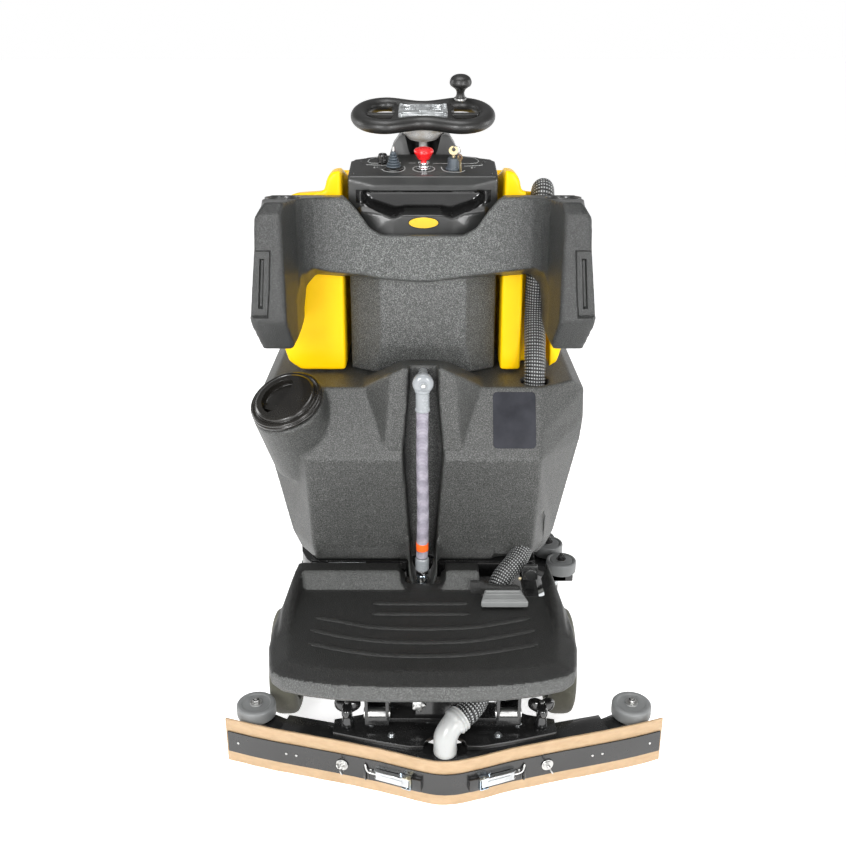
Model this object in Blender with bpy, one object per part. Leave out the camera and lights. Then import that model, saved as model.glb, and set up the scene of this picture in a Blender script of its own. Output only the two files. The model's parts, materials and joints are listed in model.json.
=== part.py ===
"""Stand-on scrubber drier, modelled in metres, +Z up, one object per piece.

Machine directions: +Y is forward (travel), +X is the operator's right, the
floor is Z = 0.  All points below are given about the body's centre plane
(X = 0) and the rear bumper wheels' line (Y = 0); the root empty then carries
the whole machine so that the middle of its footprint is the origin.
"""
import math
import bpy
import bmesh
from math import sin, cos, pi, radians
from mathutils import Vector, Matrix

# ---------------------------------------------------------------- dimensions
ROOT_SHIFT = (-0.0415, -0.4235, 0.0)   # centre of the footprint to the origin
GAP = 0.0006                           # clearance between touching pieces

WHEEL_R = 0.110                        # rear wheels
WHEEL_W = 0.055
REAR_AXLE = (0.085, 0.110)             # Y, Z
REAR_WHEEL_X = 0.2855
DRIVE_R = 0.125
DRIVE_Y = 0.900

SQ_X = 0.0415                          # squeegee centre plane
SQ_TIP = 0.430                         # half width of the squeegee
BLADE_H = 0.100
BLADE_T = 0.004
BUMPER_R = 0.039
BUMPER_Y = -0.065

LIFT_PIVOT = (0.160, 0.200)            # Y, Z of the squeegee lift pivot
DECK_Y = 0.500
BRUSH_X = (-0.138, 0.172)
BRUSH_R = 0.150

TANK_FLOOR = 0.2705
TANK_TOP = 0.664
YELLOW_FLOOR = 0.668
YELLOW_REAR = 0.352

PANEL_Y, PANEL_Z, PANEL_SLOPE = 0.370, 1.079, 0.150
WHEEL_C = Vector((0.0, 0.556, 1.182))  # steering wheel centre
WHEEL_TILT = radians(12.0)
SHAFT_Y = 0.580

CAP_C = Vector((-0.280, 0.235, 0.635))
CAP_N = Vector((-0.26, -0.42, 0.87)).normalized()
CAP_R = 0.0775

HOSE_R = 0.023

# ------------------------------------------------------------------- clean
for ob in list(bpy.data.objects):
    bpy.data.objects.remove(ob, do_unlink=True)
for me in list(bpy.data.meshes):
    bpy.data.meshes.remove(me)
COLL = bpy.context.scene.collection

ROOT = bpy.data.objects.new("scrubber_root", None)
ROOT.location = ROOT_SHIFT
COLL.objects.link(ROOT)


def material(name, rgb, rough, metal=0.0):
    m = bpy.data.materials.new(name)
    m.use_nodes = True
    b = m.node_tree.nodes["Principled BSDF"]
    b.inputs["Base Color"].default_value = (rgb[0], rgb[1], rgb[2], 1.0)
    b.inputs["Roughness"].default_value = rough
    b.inputs["Metallic"].default_value = metal
    m.diffuse_color = (rgb[0], rgb[1], rgb[2], 1.0)
    return m


BLACK = ((0.035, 0.035, 0.034), 0.5, 0.0)
SMOOTH = ((0.025, 0.025, 0.025), 0.35, 0.0)
YELLOW = ((0.95, 0.62, 0.01), 0.28, 0.0)
GREY = ((0.42, 0.43, 0.43), 0.45, 0.0)
STEEL = ((0.6, 0.6, 0.6), 0.25, 1.0)
PAINT = ((0.02, 0.02, 0.02), 0.4, 0.0)
TYRE = ((0.09, 0.09, 0.08), 0.8, 0.0)
TAN = ((0.72, 0.50, 0.25), 0.6, 0.0)
RED = ((0.75, 0.02, 0.02), 0.3, 0.0)
CLEAR = ((0.55, 0.53, 0.6), 0.2, 0.0)


# ----------------------------------------------------------- mesh builders
def body(verts, faces):
    """A bmesh of the given points and faces, its normals pointing out."""
    bm = bmesh.new()
    vs = [bm.verts.new(Vector(v)) for v in verts]
    for f in faces:
        bm.faces.new([vs[i] for i in f])
    bmesh.ops.remove_doubles(bm, verts=bm.verts, dist=1e-6)
    bmesh.ops.recalc_face_normals(bm, faces=bm.faces)
    if bm.calc_volume(signed=True) < 0:
        bmesh.ops.reverse_faces(bm, faces=bm.faces)
    return bm


def loft(rings):
    """Skin through equal rings of points, with flat caps."""
    n = len(rings[0])
    verts = [p for r in rings for p in r]
    faces = []
    for k in range(len(rings) - 1):
        for i in range(n):
            j = (i + 1) % n
            faces.append((k * n + i, k * n + j, (k + 1) * n + j, (k + 1) * n + i))
    faces.append(tuple(range(n)))
    faces.append(tuple(range((len(rings) - 1) * n, len(rings) * n)))
    return body(verts, faces)


def prism(axis, pts, a, b):
    """A flat outline pushed from a to b along one axis."""
    put = {"x": lambda p, t: (t, p[0], p[1]),
           "y": lambda p, t: (p[0], t, p[1]),
           "z": lambda p, t: (p[0], p[1], t)}[axis]
    return loft([[put(p, a) for p in pts], [put(p, b) for p in pts]])


def box(x0, x1, y0, y1, z0, z1):
    return prism("z", [(x0, y0), (x1, y0), (x1, y1), (x0, y1)], z0, z1)


def hull(points):
    bm = bmesh.new()
    for p in points:
        bm.verts.new(Vector(p))
    res = bmesh.ops.convex_hull(bm, input=bm.verts)
    junk = {g for key in ("geom_interior", "geom_unused") for g in res[key]
            if isinstance(g, bmesh.types.BMVert)}
    bmesh.ops.delete(bm, geom=list(junk), context="VERTS")
    bmesh.ops.recalc_face_normals(bm, faces=bm.faces)
    return bm


def mirrored(points):
    return [Vector(p) for p in points] + [Vector((-p[0], p[1], p[2])) for p in points]


def frame_of(axis):
    w = Vector(axis).normalized()
    ref = Vector((0, 0, 1)) if abs(w.z) < 0.9 else Vector((1, 0, 0))
    u = ref.cross(w).normalized()
    return u, w.cross(u), w


def lathe(profile, centre, axis, seg=24, closed=False):
    """Turn (radius, height) points about an axis; closed=True for a ring."""
    u, v, w = frame_of(axis)
    c = Vector(centre)
    rows = []
    verts = []
    for r, h in profile:
        if r < 1e-7:
            rows.append([len(verts)])
            verts.append(c + w * h)
        else:
            rows.append(list(range(len(verts), len(verts) + seg)))
            for i in range(seg):
                t = 2 * pi * i / seg
                verts.append(c + w * h + (u * cos(t) + v * sin(t)) * r)
    faces = []
    pairs = list(zip(rows, rows[1:])) + ([(rows[-1], rows[0])] if closed else [])
    for a, b in pairs:
        for i in range(seg):
            j = (i + 1) % seg
            if len(a) == 1 and len(b) == 1:
                continue
            if len(a) == 1:
                faces.append((a[0], b[i], b[j]))
            elif len(b) == 1:
                faces.append((a[i], a[j], b[0]))
            else:
                faces.append((a[i], a[j], b[j], b[i]))
    if not closed:
        if len(rows[0]) > 1:
            faces.append(tuple(rows[0]))
        if len(rows[-1]) > 1:
            faces.append(tuple(rows[-1]))
    return body(verts, faces)


def cyl(p, q, r, seg=20, r2=None):
    p, q = Vector(p), Vector(q)
    return lathe([(r, 0.0), (r if r2 is None else r2, (q - p).length)], p, q - p, seg)


def ring(p, q, r_out, r_in, seg=28, chamfer=0.0):
    p, q = Vector(p), Vector(q)
    h = (q - p).length
    if chamfer:
        prof = [(r_in, 0), (r_out - chamfer, 0), (r_out, chamfer), (r_out, h - chamfer),
                (r_out - chamfer, h), (r_in, h)]
    else:
        prof = [(r_in, 0), (r_out, 0), (r_out, h), (r_in, h)]
    return lathe(prof, p, q - p, seg, closed=True)


def smooth_path(points, step):
    """Catmull-Rom curve through the points, read at an even spacing."""
    p = [Vector(q) for q in points]
    p = [p[0] * 2 - p[1]] + p + [p[-1] * 2 - p[-2]]
    fine = []
    for k in range(1, len(p) - 2):
        for i in range(40):
            t = i / 40.0
            fine.append(0.5 * ((2 * p[k]) + (p[k + 1] - p[k - 1]) * t
                               + (2 * p[k - 1] - 5 * p[k] + 4 * p[k + 1] - p[k + 2]) * t * t
                               + (3 * p[k] - p[k - 1] - 3 * p[k + 1] + p[k + 2]) * t ** 3))
    fine.append(p[-2])
    total = sum((b - a).length for a, b in zip(fine, fine[1:]))
    n = max(2, int(round(total / step)))
    out, acc, k = [fine[0]], 0.0, 0
    for m in range(1, n):
        want = total * m / n
        while acc + (fine[k + 1] - fine[k]).length < want:
            acc += (fine[k + 1] - fine[k]).length
            k += 1
        d = (fine[k + 1] - fine[k]).length
        out.append(fine[k].lerp(fine[k + 1], (want - acc) / d))
    out.append(fine[-1])
    return out


def sweep(path, radius, seg=10, loop=False):
    """Round tube along a path, open or closed into a ring."""
    n = len(path)
    tang = []
    for i in range(n):
        a = path[(i - 1) % n] if (loop or i) else path[i]
        b = path[(i + 1) % n] if (loop or i < n - 1) else path[i]
        tang.append((b - a).normalized())
    u = frame_of(tang[0])[0]
    rings = []
    for i in range(n):
        u = (u - tang[i] * u.dot(tang[i])).normalized()
        v = tang[i].cross(u)
        r = radius(i / (n - 1)) if callable(radius) else radius
        rings.append([path[i] + (u * cos(2 * pi * k / seg) + v * sin(2 * pi * k / seg)) * r
                      for k in range(seg)])
    if not loop:
        return loft(rings)
    verts = [p for rr in rings for p in rr]
    faces = []
    for i in range(n):
        k = (i + 1) % n
        for j in range(seg):
            m = (j + 1) % seg
            faces.append((i * seg + j, i * seg + m, k * seg + m, k * seg + j))
    return body(verts, faces)


# ------------------------------------------------------------ object makers
def to_object(name, bm, pivot, mat):
    bmesh.ops.translate(bm, verts=bm.verts, vec=-Vector(pivot))
    me = bpy.data.meshes.new(name)
    bm.to_mesh(me)
    bm.free()
    ob = bpy.data.objects.new(name, me)
    ob.location = pivot
    ob.parent = ROOT
    COLL.objects.link(ob)
    if mat is not None:
        me.materials.append(mat)
    return ob


def piece(name, bm, look, pivot=(0, 0, 0), add=(), cut=(), smooth=35):
    """One part: a base mesh, what is joined to it and what is cut from it."""
    ob = to_object(name, bm, pivot, material(name + "_mat", *look))
    for kind, items in (("UNION", add), ("DIFFERENCE", cut)):
        for i, tool in enumerate(items):
            t = to_object("%s_%s%d" % (name, kind[:3].lower(), i), tool, pivot, None)
            t.hide_render = True
            t.display_type = "WIRE"
            m = ob.modifiers.new("%s%d" % (kind[:3].lower(), i), "BOOLEAN")
            m.operation = kind
            m.solver = "EXACT"
            m.object = t
    ob.data.shade_smooth()
    ob.data.set_sharp_from_angle(angle=radians(smooth))
    return ob


# ============================================================ running gear
ya, za = REAR_AXLE
tray = box(-0.245, 0.245, 0.225, 0.790, 0.262, 0.270)
arms = [box(s * 0.16 if s > 0 else -0.19, 0.19 if s > 0 else -0.16, 0.70, 1.036, 0.2545, 0.2655)
        for s in (-1, 1)]
rails = []
for s in (-1, 1):
    a, b = sorted((s * 0.215, s * 0.244))
    rails.append(prism("x", [(-0.12, 0.224), (0.60, 0.224), (0.60, 0.266), (0.20, 0.266),
                             (0.20, 0.2475), (-0.12, 0.2475)], a, b))
    rails.append(box(a, b, 0.055, 0.115, 0.085, 0.230))
lugs = [prism("x", [(0.138, 0.182), (0.25, 0.182), (0.25, 0.265), (0.20, 0.265),
                    (0.20, 0.244), (0.138, 0.244)], a, a + 0.010) for a in (-0.046, 0.064)]
piece("chassis_frame", tray, PAINT,
      add=rails + lugs + arms + [
          box(-0.195, 0.195, 0.780, 0.7905, 0.263, 0.309),
          box(-0.195, 0.195, 0.7825, 0.985, 0.302, 0.310),
          box(-0.02, 0.02, 0.56, 0.60, 0.268, 0.300)],
      cut=[cyl((0, DRIVE_Y, 0.29), (0, DRIVE_Y, 0.32), 0.0216, 24),
           box(-0.034, 0.034, 0.20, 0.2500, 0.24, 0.29),
           cyl((-0.3, ya, za), (0.3, ya, za), 0.0106, 16),
           cyl((-0.06, LIFT_PIVOT[0], LIFT_PIVOT[1]), (0.09, LIFT_PIVOT[0], LIFT_PIVOT[1]), 0.0086, 16)])

piece("rear_axle", cyl((-0.322, ya, za), (0.322, ya, za), 0.010, 16), STEEL)

for side, s in (("left", -1), ("right", 1)):
    c = s * REAR_WHEEL_X
    prof = [(0.0108, -WHEEL_W / 2 + 0.006), (0.03, -WHEEL_W / 2 + 0.006), (0.03, -WHEEL_W / 2 + 0.012),
            (0.078, -WHEEL_W / 2 + 0.012), (0.082, -WHEEL_W / 2), (WHEEL_R - 0.012, -WHEEL_W / 2),
            (WHEEL_R - 0.003, -WHEEL_W / 2 + 0.008), (WHEEL_R, -WHEEL_W / 2 + 0.018)]
    prof = prof + [(r, -h) for r, h in reversed(prof)]
    piece("rear_wheel_" + side, lathe(prof, (c, ya, za), (1, 0, 0), 22, closed=True), TYRE,
          pivot=(c, ya, za))

# steered drive wheel at the nose
fork = cyl((0, DRIVE_Y, 0.278), (0, DRIVE_Y, 0.2955), 0.062, 24)
piece("drive_fork", fork, PAINT, pivot=(0, DRIVE_Y, 0.0),
      add=[box(-0.058, -0.046, DRIVE_Y - 0.024, DRIVE_Y + 0.024, 0.090, 0.286),
           box(0.046, 0.058, DRIVE_Y - 0.024, DRIVE_Y + 0.024, 0.090, 0.286),
           cyl((0, DRIVE_Y, 0.285), (0, DRIVE_Y, 0.345), 0.021, 24),
           cyl((0, DRIVE_Y, 0.322), (0, DRIVE_Y, 0.332), 0.0336, 24)],
      cut=[cyl((-0.09, DRIVE_Y, DRIVE_R), (0.09, DRIVE_Y, DRIVE_R), 0.0106, 16)])
w = 0.070
piece("drive_tyre", lathe([(0.080, -w / 2), (DRIVE_R - 0.012, -w / 2), (DRIVE_R - 0.003, -w / 2 + 0.008),
                           (DRIVE_R, -w / 2 + 0.02), (DRIVE_R, w / 2 - 0.02), (DRIVE_R - 0.003, w / 2 - 0.008),
                           (DRIVE_R - 0.012, w / 2), (0.080, w / 2)],
                          (0, DRIVE_Y, DRIVE_R), (1, 0, 0), 24, closed=True), TYRE,
      pivot=(0, DRIVE_Y, DRIVE_R))
piece("drive_hub_motor", lathe([(0, -0.060), (0.010, -0.060), (0.010, -0.034), (0.06, -0.033), (0.0795, -0.028),
                                (0.0795, 0.028), (0.06, 0.033), (0.010, 0.034), (0.010, 0.060), (0, 0.060)],
                               (0, DRIVE_Y, DRIVE_R), (1, 0, 0), 24), GREY, pivot=(0, DRIVE_Y, DRIVE_R))

piece("front_bumper", prism("z", [(-0.27, 1.0365), (-0.27, 1.052), (-0.25, 1.068), (-0.12, 1.076), (0.12, 1.076),
                                  (0.25, 1.068), (0.27, 1.052), (0.27, 1.0365)], 0.215, 0.2695), SMOOTH)

# ============================================================ lower body
def tank_ring(z, w, yr, cx, ys, ye, cf, yf):
    """Plan outline at height z: flat rear, corner facets, sides, nose."""
    half = [(cx, yr), (w, ys), (w, ye), (cf, yf)]
    pts = half + [(-x, y) for x, y in reversed(half)]
    return [(x, y, z) for x, y in pts]


tank_rings = [
    tank_ring(TANK_FLOOR, 0.272, 0.230, 0.232, 0.288, 0.93, 0.18, 1.028),
    tank_ring(0.310, 0.292, 0.214, 0.238, 0.295, 0.94, 0.20, 1.040),
    tank_ring(0.530, 0.341, 0.185, 0.244, 0.305, 0.955, 0.23, 1.050),
    tank_ring(0.575, 0.3475, 0.208, 0.245, 0.315, 0.955, 0.24, 1.048),
    tank_ring(0.640, 0.3455, 0.2425, 0.246, 0.318, 0.955, 0.24, 1.040),
    tank_ring(TANK_TOP, 0.318, 0.2550, 0.247, 0.300, 0.945, 0.22, 1.020)]

boss = hull(mirrored([(0.040, 0.200, 0.725), (0.066, 0.205, 0.711), (0.079, 0.192, 0.548), (0.124, 0.257, 0.6635),
                      (0.045, 0.325, 0.700), (0.124, 0.325, 0.6635), (0.079, 0.27, 0.50), (0.10, 0.30, 0.55)]))
spoon = prism("y", [(-0.031, 0.335), (-0.031, 0.268), (-0.024, 0.240), (-0.010, 0.224), (0.010, 0.224),
                    (0.024, 0.240), (0.031, 0.268), (0.031, 0.335)], 0.166, 0.245)
groove = prism("y", [(-0.0285, 0.76), (-0.030, 0.68), (-0.0425, 0.53), (-0.029, 0.33), (-0.025, 0.268),
                     (-0.019, 0.246), (-0.008, 0.231), (0.008, 0.231), (0.019, 0.246), (0.025, 0.268),
                     (0.029, 0.33), (0.0425, 0.53), (0.030, 0.68), (0.0285, 0.76)], 0.10, 0.2455)
neck = cyl(CAP_C - CAP_N * 0.15, CAP_C - CAP_N * 0.0006, 0.088, 28, 0.079)
above_cap = cyl(CAP_C, CAP_C + CAP_N * 0.08, 0.100, 28)
neck_bore = cyl(CAP_C - CAP_N * 0.070, CAP_C + CAP_N * 0.01, 0.0620, 28)
tunnel = cyl((0.2315, 0.2345, 0.28), (0.2370, 0.3020, 0.69), 0.0300, 20)
mouth = hull([(0.145, 0.15, 0.255), (0.262, 0.15, 0.255), (0.150, 0.15, 0.318), (0.250, 0.15, 0.345),
              (0.150, 0.235, 0.255), (0.262, 0.262, 0.255), (0.165, 0.235, 0.318), (0.258, 0.262, 0.345)])
bend = cyl((0.205, 0.185, 0.280), (0.2320, 0.2490, 0.385), 0.0315, 20)
piece("solution_tank", loft(tank_rings), BLACK,
      add=[boss, spoon, neck],
      cut=[box(-0.198, 0.198, 0.262, 0.995, 0.20, 0.600),
           cyl((0, SHAFT_Y, 0.59), (0, SHAFT_Y, 0.70), 0.030, 20),
           groove, above_cap, neck_bore, tunnel, mouth, bend])

piece("filler_cap", lathe([(0, -0.030), (0.057, -0.030), (0.060, -0.0012), (0.060, GAP), (0.0735, GAP),
                           (CAP_R, 0.004), (CAP_R, 0.012), (0.0735, 0.0165), (0.068, 0.0165), (0.064, 0.0215),
                           (0, 0.0225)], CAP_C, CAP_N, 32), SMOOTH, pivot=CAP_C,
      cut=[hull([CAP_C + CAP_N * 0.010 + frame_of(CAP_N)[0] * a + frame_of(CAP_N)[1] * b + CAP_N * h
                 for a, b in ((-0.010, -0.045), (-0.010, 0.045), (-0.045, -0.025), (-0.045, 0.025))
                 for h in (0.0, 0.03)])])

# sight hose: ringed clear hose between two fittings, in the groove
SX, SY = -0.001, 0.178
piece("sight_hose", cyl((SX - 0.001, SY, 0.3062), (SX, SY, 0.6404), 0.0128, 16), CLEAR)
piece("sight_hose_elbow", lathe([(0, -0.010), (0.014, -0.010), (0.0205, -0.006), (0.0215, 0.0), (0.0205, 0.008),
                                 (0.014, 0.016), (0.011, 0.024), (0.011, 0.0685), (0, 0.0685)],
                                (0, 0.176, 0.700), (0, 1, 0), 24), GREY,
      add=[cyl((SX, SY, 0.641), (SX, SY, 0.690), 0.0150, 16)])
piece("sight_hose_fitting", lathe([(0, 0.0), (0.0085, 0.0), (0.0125, 0.014), (0.0125, 0.027), (0.0155, 0.029),
                                   (0.0155, 0.035), (0.0140, 0.037), (0.0140, 0.0656), (0, 0.0656)],
                                  (SX - 0.001, SY, 0.2400), (0, 0, 1), 16), STEEL)

# ============================================================ yellow tank
def yellow_ring(y, rows):
    pts = list(rows) + [(-x, z) for x, z in reversed(rows)]
    return [(x, y, z) for x, z in pts]


yz = YELLOW_FLOOR
yellow = loft([
    yellow_ring(YELLOW_REAR, [(0.262, yz), (0.290, 0.688), (0.303, 0.735), (0.305, 0.80), (0.300, 1.000),
                              (0.287, 1.034), (0.262, 1.047), (0.200, 1.051), (0.196, 1.074), (0.184, 1.089),
                              (0.165, 1.093)]),
    yellow_ring(0.420, [(0.262, yz), (0.290, 0.688), (0.303, 0.735), (0.305, 0.80), (0.300, 0.990),
                        (0.287, 1.026), (0.262, 1.039), (0.202, 1.043), (0.198, 1.072), (0.186, 1.087),
                        (0.165, 1.091)]),
    yellow_ring(0.655, [(0.262, yz), (0.290, 0.688), (0.303, 0.735), (0.305, 0.80), (0.300, 0.950),
                        (0.287, 0.988), (0.262, 1.001), (0.226, 1.005), (0.224, 1.020), (0.218, 1.032),
                        (0.200, 1.037)]),
    yellow_ring(0.965, [(0.250, yz), (0.275, 0.688), (0.290, 0.735), (0.292, 0.80), (0.288, 0.900),
                        (0.275, 0.935), (0.255, 0.947), (0.226, 0.950), (0.224, 0.966), (0.218, 0.979),
                        (0.200, 0.985)]),
    yellow_ring(1.035, [(0.200, yz), (0.222, 0.688), (0.240, 0.735), (0.242, 0.80), (0.235, 0.860),
                        (0.222, 0.885), (0.205, 0.895), (0.190, 0.898), (0.186, 0.905), (0.180, 0.912),
                        (0.165, 0.918)])])
piece("recovery_tank", yellow, YELLOW,
      cut=[box(-0.166, 0.166, 0.30, 0.640, 0.60, 1.20),
           box(-0.185, 0.185, 0.680, 0.940, 0.700, 1.20),
           box(0.2105, 0.272, 0.30, 0.412, 0.60, 1.20),
           box(0.2205, 0.282, 0.38, 0.492, 0.970, 1.20)], smooth=50)
lid_slope = (0.985 - 1.037) / (0.965 - 0.655)
lz = lambda y: 1.037 + (y - 0.655) * lid_slope
piece("recovery_lid", loft([[(-w0, 0.662, lz(0.662) + h), (w0, 0.662, lz(0.662) + h),
                             (w0, 0.960, lz(0.960) + h), (-w0, 0.960, lz(0.960) + h)]
                            for w0, h in ((0.198, 0.0008), (0.198, 0.008), (0.185, 0.016))]), YELLOW,
      pivot=(0, 0.960, lz(0.960) + 0.0008))

# ============================================================ knee panel, bolster
piece("knee_panel", prism("z", [(-0.1545, 0.374), (-0.088, 0.331), (0.088, 0.331), (0.1545, 0.374),
                                (0.1545, 0.400), (-0.1545, 0.400)], 0.667, 0.955), BLACK)

arc_c, arc_r = (0.170, 0.203), 0.079
half = [(0.0, 0.282), (0.10, 0.282)]
half += [(arc_c[0] + arc_r * sin(t), arc_c[1] + arc_r * cos(t)) for t in [radians(a) for a in (0, 18, 36, 54, 72, 90)]]
half += [(0.260, 0.138), (0.267, 0.132), (0.322, 0.132), (0.331, 0.142), (0.334, 0.300), (0.325, 0.338), (0.310, 0.3475),
         (0.1585, 0.3475), (0.1585, 0.3275)]
plan = half + [(-x, y) for x, y in reversed(half[1:])]
bolster = prism("z", plan, 0.766, 1.064)


def taper_cut(rear, front, y0, y1):
    """Cutter whose outline (half, X and Z) changes from rear to front."""
    return loft([[(x, y, z) for x, z in (list(rows) + [(-a, b) for a, b in reversed(rows)])]
                 for rows, y in ((rear, y0), (front, y1))])


window = taper_cut([(0.2470, 0.70), (0.2470, 0.900), (0.2380, 0.9500), (0.218, 0.957), (0.120, 0.941), (0.020, 0.920)],
                   [(0.2503, 0.70), (0.2500, 0.80), (0.2430, 0.852), (0.222, 0.876), (0.120, 0.868), (0.020, 0.860)],
                   0.150, 0.360)
dip = taper_cut([(0.170, 1.20), (0.170, 1.056), (0.148, 1.046), (0.128, 1.024), (0.104, 0.990), (0.080, 0.976)],
                [(0.170, 1.20), (0.170, 1.050), (0.156, 1.038), (0.136, 1.014), (0.112, 0.978), (0.084, 0.964)],
                0.270, 0.360)
def both(rear, front, y0, y1):
    """The same X-Z cutter on the left and right, changing from rear to front."""
    return [hull([(s * x, y, z) for rows, y in ((rear, y0), (front, y1)) for x, z in rows]) for s in (-1, 1)]


lean = [(0.3085, 1.0700), (0.3135, 0.9800), (0.3290, 0.8450), (0.3600, 0.8450), (0.3600, 1.1000), (0.3085, 1.1000)]
tuck = [(0.3300, 0.8420), (0.3145, 0.7600), (0.3600, 0.7600), (0.3600, 0.8420)]
inner = [(0.2350, 0.8060), (0.2640, 0.7600), (0.2350, 0.7600)]
chamf = both(lean, lean, 0.10, 0.37) + both(tuck, tuck, 0.10, 0.37) + both(inner, inner, 0.10, 0.37)
chamf += both([(0.2780, 1.0780), (0.3120, 1.0300), (0.3600, 1.0300), (0.3600, 1.1000), (0.2780, 1.1000)],
              [(0.3040, 1.0780), (0.3125, 1.0400), (0.3600, 1.0400), (0.3600, 1.1000), (0.3040, 1.1000)], 0.10, 0.235)
chamf += [hull([(s * x, y, z) for x in (0.230, 0.36) for y, z in ((0.10, 0.700), (0.10, 0.879), (0.1870, 0.7675), (0.1870, 0.700))])
          for s in (-1, 1)]
chamf += [hull([(s * x, y, z) for x in (0.230, 0.36) for y, z in ((0.1800, 0.700), (0.1800, 0.7675), (0.37, 0.7900), (0.37, 0.700))])
          for s in (-1, 1)]
slope_top = prism("x", [(0.05, 1.0705), (0.40, 1.040), (0.40, 1.2), (0.05, 1.2)], -0.4, 0.4)
cups = [cyl((s * 0.274, 0.270, 0.985), (s * 0.274, 0.270, 1.10), 0.0310, 24) for s in (-1, 1)]
piece("side_bolster", bolster, BLACK, cut=[window, dip, slope_top] + chamf + cups, smooth=40)

# ============================================================ console
pz = lambda y: PANEL_Z + (y - PANEL_Y) * PANEL_SLOPE
PN = Vector((0, -PANEL_SLOPE, 1)).normalized()
console = prism("z", [(-0.1535, 0.366), (-0.10, 0.360), (0.10, 0.360), (0.1535, 0.366), (0.1535, 0.478), (0.145, 0.492),
                      (0.10, 0.516), (0.05, 0.530), (0, 0.534), (-0.05, 0.530), (-0.10, 0.516), (-0.145, 0.492),
                      (-0.1535, 0.478)], 0.9565, 1.15)
nose = hull(mirrored([(0.118, 0.340, 0.9565), (0.118, 0.400, 0.9565), (0.150, 0.400, 0.9565), (0.128, 0.350, 1.010),
                      (0.060, 0.3325, 0.9565), (0.060, 0.334, 1.004), (0.150, 0.400, 1.03), (0.128, 0.400, 1.05)]))
top_cut = prism("x", [(0.20, pz(0.20)), (0.3700, pz(0.370)), (0.70, pz(0.70)), (0.70, 1.4), (0.20, 1.4)], -0.4, 0.4)
edge_cut = prism("x", [(0.30, 1.02), (0.3575, 1.056), (0.3695, 1.0795), (0.3695, 1.2), (0.30, 1.2)], -0.4, 0.4)
hold = hull([(-0.136, 0.320, 1.050), (0.136, 0.320, 1.050), (-0.136, 0.320, 1.030), (0.136, 0.320, 1.030),
             (-0.045, 0.320, 1.008), (0.045, 0.320, 1.008), (-0.120, 0.386, 1.046), (0.120, 0.386, 1.046),
             (-0.115, 0.386, 1.034), (0.115, 0.386, 1.034), (-0.040, 0.386, 1.014), (0.040, 0.386, 1.014)])
LEV = Vector((-0.061, 0.418, pz(0.418)))
STOP = Vector((0.0015, 0.420, pz(0.420)))
KEY = Vector((0.0630, 0.418, pz(0.418)))
DIAL = Vector((-0.0850, 0.462, pz(0.462)))
piece("console_housing", console, SMOOTH, add=[nose], cut=[top_cut, edge_cut, hold])

piece("estop_collar", lathe([(0, GAP), (0.0135, GAP), (0.0135, 0.004), (0.0105, 0.005), (0.0105, 0.0150),
                             (0.0125, 0.0160), (0.0125, 0.0190), (0, 0.0190)], STOP, PN, 20), STEEL,
      cut=[cyl(STOP + PN * 0.004, STOP + PN * 0.03, 0.0068, 16)])
piece("estop_button", lathe([(0, 0.0115), (0.0064, 0.0115), (0.0064, 0.0265), (0.0130, 0.0265), (0.0185, 0.0330),
                             (0.0200, 0.0370), (0.0185, 0.0410), (0.0120, 0.0435), (0, 0.0440)], STOP, PN, 24), RED,
      pivot=STOP)
piece("lever_boot", lathe([(0, 0.0035), (0.0155, 0.0035), (0.0150, 0.010), (0.0135, 0.016), (0.0120, 0.024),
                           (0.0095, 0.0320), (0.0050, 0.0365), (0.0030, 0.0380), (0.0028, 0.0480), (0, 0.0485)],
                          LEV, PN, 20), TYRE, pivot=LEV)
piece("key_switch", lathe([(0, GAP), (0.0165, GAP), (0.0165, 0.003), (0.0125, 0.004), (0.0120, 0.022), (0, 0.022)],
                          KEY, PN, 20), SMOOTH,
      cut=[cyl(KEY + PN * 0.008, KEY + PN * 0.05, 0.0042, 12)])
KU = Vector((1, 0, 0))
piece("ignition_key", cyl(KEY + PN * 0.010, KEY + PN * 0.028, 0.0036, 12), STEEL, pivot=KEY,
      add=[hull([KEY + KU * a + PN * h + Vector((0, b, 0)) for a, h in ((-0.0030, 0.024), (0.0030, 0.024), (-0.0095, 0.031),
                                                                     (0.0095, 0.031), (-0.0090, 0.043), (0.0090, 0.043),
                                                                     (-0.005, 0.046), (0.005, 0.046))
                 for b in (-0.0014, 0.0014)])])
piece("speed_dial", lathe([(0, GAP), (0.0098, GAP), (0.0098, 0.0180), (0.0085, 0.0200), (0, 0.0200)], DIAL, PN, 20),
      SMOOTH, pivot=DIAL)

# ============================================================ steering
WN = Vector((0, -sin(WHEEL_TILT), cos(WHEEL_TILT)))
WB = Vector((0, cos(WHEEL_TILT), sin(WHEEL_TILT)))
WX = Vector((1, 0, 0))


def wp(a, b, n=0.0):
    """A point in the steering wheel's own plane."""
    return WHEEL_C + WX * a + WB * b + WN * n


def rim_depth(x):
    """Half depth of the waisted rim's centre line at x (metres)."""
    t = min(1.0, abs(x) / 0.139)
    waist = 0.055 + 0.027 * 0.5 * (1 - cos(pi * min(1.0, t / 0.62)))
    return waist * (1 - max(0.0, (t - 0.5) / 0.5) ** 2.6) ** 0.5


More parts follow.
